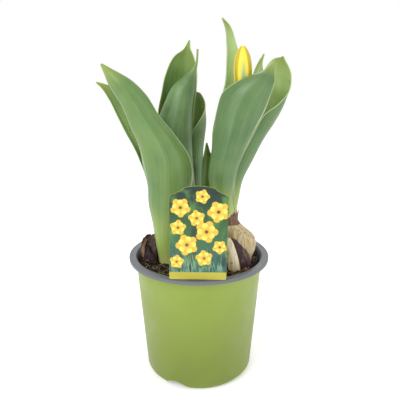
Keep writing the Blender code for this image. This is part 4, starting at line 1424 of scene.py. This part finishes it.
def field_look():
    """The print's field: a soft green, darker upwards, with lighter and darker drifts."""
    look = Look("print_field", 0.3, 0.5)
    height = look.part(look.point(), "Z")
    stops = (
        (0.0, srgb(50, 94, 88)),
        (0.3, srgb(56, 104, 66)),
        (0.6, srgb(44, 92, 46)),
        (1.0, srgb(20, 48, 38)),
    )
    colour = look.ramp(look.fit(height, BAND_Z * MM, TAG_TOP_Z), stops)
    drift = look.noise(look.point(), 70.0, 2.0)
    colour = look.mix(look.fit(drift, 0.5, 0.66, 0.0, 0.75), colour, srgb(92, 140, 66))
    deep = look.noise(look.point((1.0, 1.0, 0.5)), 110.0, 3.0)
    colour = look.mix(look.fit(deep, 0.52, 0.66, 0.0, 0.7), colour, srgb(18, 42, 34))
    return look.finish(colour)


def add_grass(points, faces, rng):
    """Blades of grass at the foot of the print, each a hair in front of the last."""
    indices = []
    for step in range(GRASS_BLADES):
        x = rng.uniform(-20.0, 20.0)
        rise = rng.uniform(6.0, 22.0)
        lean = rng.uniform(-3.5, 3.5)
        wide = rng.uniform(0.25, 0.6)
        tip = max(-GRASS_EDGE, min(GRASS_EDGE, x + lean))
        middle = (x + tip) / 2
        blade = (
            (x + wide, BAND_Z + 0.1),
            (middle + wide * 0.8, BAND_Z + rise * 0.55),
            (tip, BAND_Z + rise),
            (middle - wide * 0.4, BAND_Z + rise * 0.5),
            (x - wide, BAND_Z + 0.1),
        )
        outline = [(bx * MM, bz * MM) for bx, bz in blade]
        top = TAG_THICKNESS / 2 + (0.03 + 0.0004 * step) * MM
        indices += [1] * add_plate(points, faces, outline, PRINT_BASE, top)
    return indices


def petal_outline(x, z, reach, turn):
    """A printed petal's outline from its flower's middle, and the place of each point on it."""
    outline = []
    places = []
    for step in range(PETAL_POINTS):
        swing = 2 * math.pi * step / PETAL_POINTS
        out = 0.5 + 0.5 * math.cos(swing)
        side = 0.4 * math.sin(swing) * (0.62 + 0.5 * out - 0.12 * out * out)
        px = x + reach * (out * math.cos(turn) - side * math.sin(turn))
        pz = z + reach * (out * math.sin(turn) + side * math.cos(turn))
        outline.append((max(-BLOOM_EDGE, min(BLOOM_EDGE, px)) * MM, pz * MM))
        places.append((0.5 + side / 0.8, out))
    return outline, places


def add_flower(points, faces, grid, number, flower):
    """Five petals, five more over them, and a small heart."""
    x, z, reach = flower
    layer = TAG_THICKNESS / 2 + (0.06 + 0.02 * number) * MM
    indices = []
    for ring, (share, index) in enumerate(((1.0, 3), (0.8, 2))):
        for i in range(FLOWER_PETALS):
            turn = 2 * math.pi * (i + 0.5 * ring) / FLOWER_PETALS + number
            outline, places = petal_outline(x, z, reach * share, turn)
            top = layer + (0.006 * ring + 0.0007 * i) * MM
            indices += [index] * add_plate(points, faces, outline, PRINT_BASE, top)
            grid += places * 2
    heart = []
    for step in range(HEART_POINTS):
        swing = 2 * math.pi * step / HEART_POINTS
        spot = (x + reach * 0.15 * math.cos(swing), z + reach * 0.15 * math.sin(swing))
        heart.append((spot[0] * MM, spot[1] * MM))
    indices += [4] * add_plate(points, faces, heart, PRINT_BASE, layer + 0.015 * MM)
    grid += [(0.5, 0.5)] * (2 * len(heart))
    return indices


def build_print():
    """A generic print of round flowers over grass, with a bare band left under it."""
    field = field_look()
    petal = print_petal_look("print_petal", srgb(246, 228, 98), srgb(218, 168, 50))
    petal_low = print_petal_look("print_petal_low", srgb(226, 190, 66), srgb(178, 120, 36))
    heart = plain_look("print_heart", srgb(122, 112, 44), srgb(92, 70, 26), 0.3, 500.0, 0.01 * MM)
    grass = plain_look("print_grass", srgb(118, 158, 124), srgb(60, 108, 92), 0.3, 200.0, 0.01 * MM)
    points = []
    faces = []
    shape = [(x, max(z, BAND_Z * MM)) for x, z in card_outline(PRINT_INSET)[2:-2]]
    indices = [0] * add_plate(points, faces, shape, TAG_THICKNESS / 2, FIELD_TOP)
    indices += add_grass(points, faces, random.Random(SEED + 2))
    grid = [(0.5, 0.5)] * len(points)
    for number, flower in enumerate(FLOWERS):
        indices += add_flower(points, faces, grid, number, flower)
    looks = (field, grass, petal, petal_low, heart)
    piece = mesh_piece("label_print", points, faces, looks, (), indices, grid, False)
    on_card(piece)


FLOOR_REACH = 6.0
FLOOR_GLOW = 0.3
SKY_LEVEL = 0.74
# Soft lights: name, place, size and power, and the point that they all face.
LAMPS = (
    ("key", (-0.55, -0.75, 0.95), 0.6, 6.5),
    ("fill", (0.8, -0.6, 0.5), 0.9, 1.6),
    ("back", (0.1, 0.9, 0.9), 0.8, 3.0),
)
LAMP_AIM = (0.0, 0.0, 0.14)


def build_stage():
    """A plain pale floor, soft lights and the camera."""
    floor_look = Look("floor", 0.7, 0.2)
    drift = floor_look.noise(floor_look.point(), 3.0, 2.0)
    pale = floor_look.mix(drift, (0.95, 0.95, 0.95, 1.0), (0.93, 0.93, 0.93, 1.0))
    floor_look.shader.inputs["Emission Color"].default_value = (1.0, 1.0, 1.0, 1.0)
    floor_look.shader.inputs["Emission Strength"].default_value = FLOOR_GLOW
    bm = bmesh.new()
    bmesh.ops.create_grid(bm, x_segments=1, y_segments=1, size=FLOOR_REACH)
    mesh = bpy.data.meshes.new("floor")
    bm.to_mesh(mesh)
    bm.free()
    mesh.materials.append(floor_look.finish(pale))
    floor = add_object("floor", mesh)

    world = bpy.data.worlds.new("studio")
    world.use_nodes = True
    tree = world.node_tree
    backdrop = tree.nodes["Background"]
    backdrop.inputs["Color"].default_value = (1.0, 1.0, 1.0, 1.0)
    rays = tree.nodes.new("ShaderNodeLightPath")
    level = tree.nodes.new("ShaderNodeMapRange")
    level.inputs["To Min"].default_value = SKY_LEVEL
    level.inputs["To Max"].default_value = 1.0
    tree.links.new(rays.outputs["Is Camera Ray"], level.inputs["Value"])
    tree.links.new(level.outputs["Result"], backdrop.inputs["Strength"])
    bpy.context.scene.world = world

    for name, place, size, power in LAMPS:
        light = bpy.data.lights.new(name, "AREA")
        light.size = size
        light.energy = power
        lamp = add_object(name, light)
        lamp.location = place
        aim = Vector(LAMP_AIM) - Vector(place)
        lamp.rotation_euler = aim.to_track_quat("-Z", "Y").to_euler()

    lens = bpy.data.cameras.new("camera")
    lens.lens = CAMERA_LENS
    lens.sensor_width = CAMERA_SENSOR
    camera = add_object("camera", lens)
    camera.location = CAMERA_PLACE
    camera.rotation_euler = (math.radians(CAMERA_TILT), 0.0, 0.0)
    bpy.context.scene.camera = camera
    bpy.context.scene.view_settings.view_transform = "Standard"


build_pot()
build_soil()
build_card()
build_print()
build_leaves()
build_shoots()
build_bulbs()
build_stage()
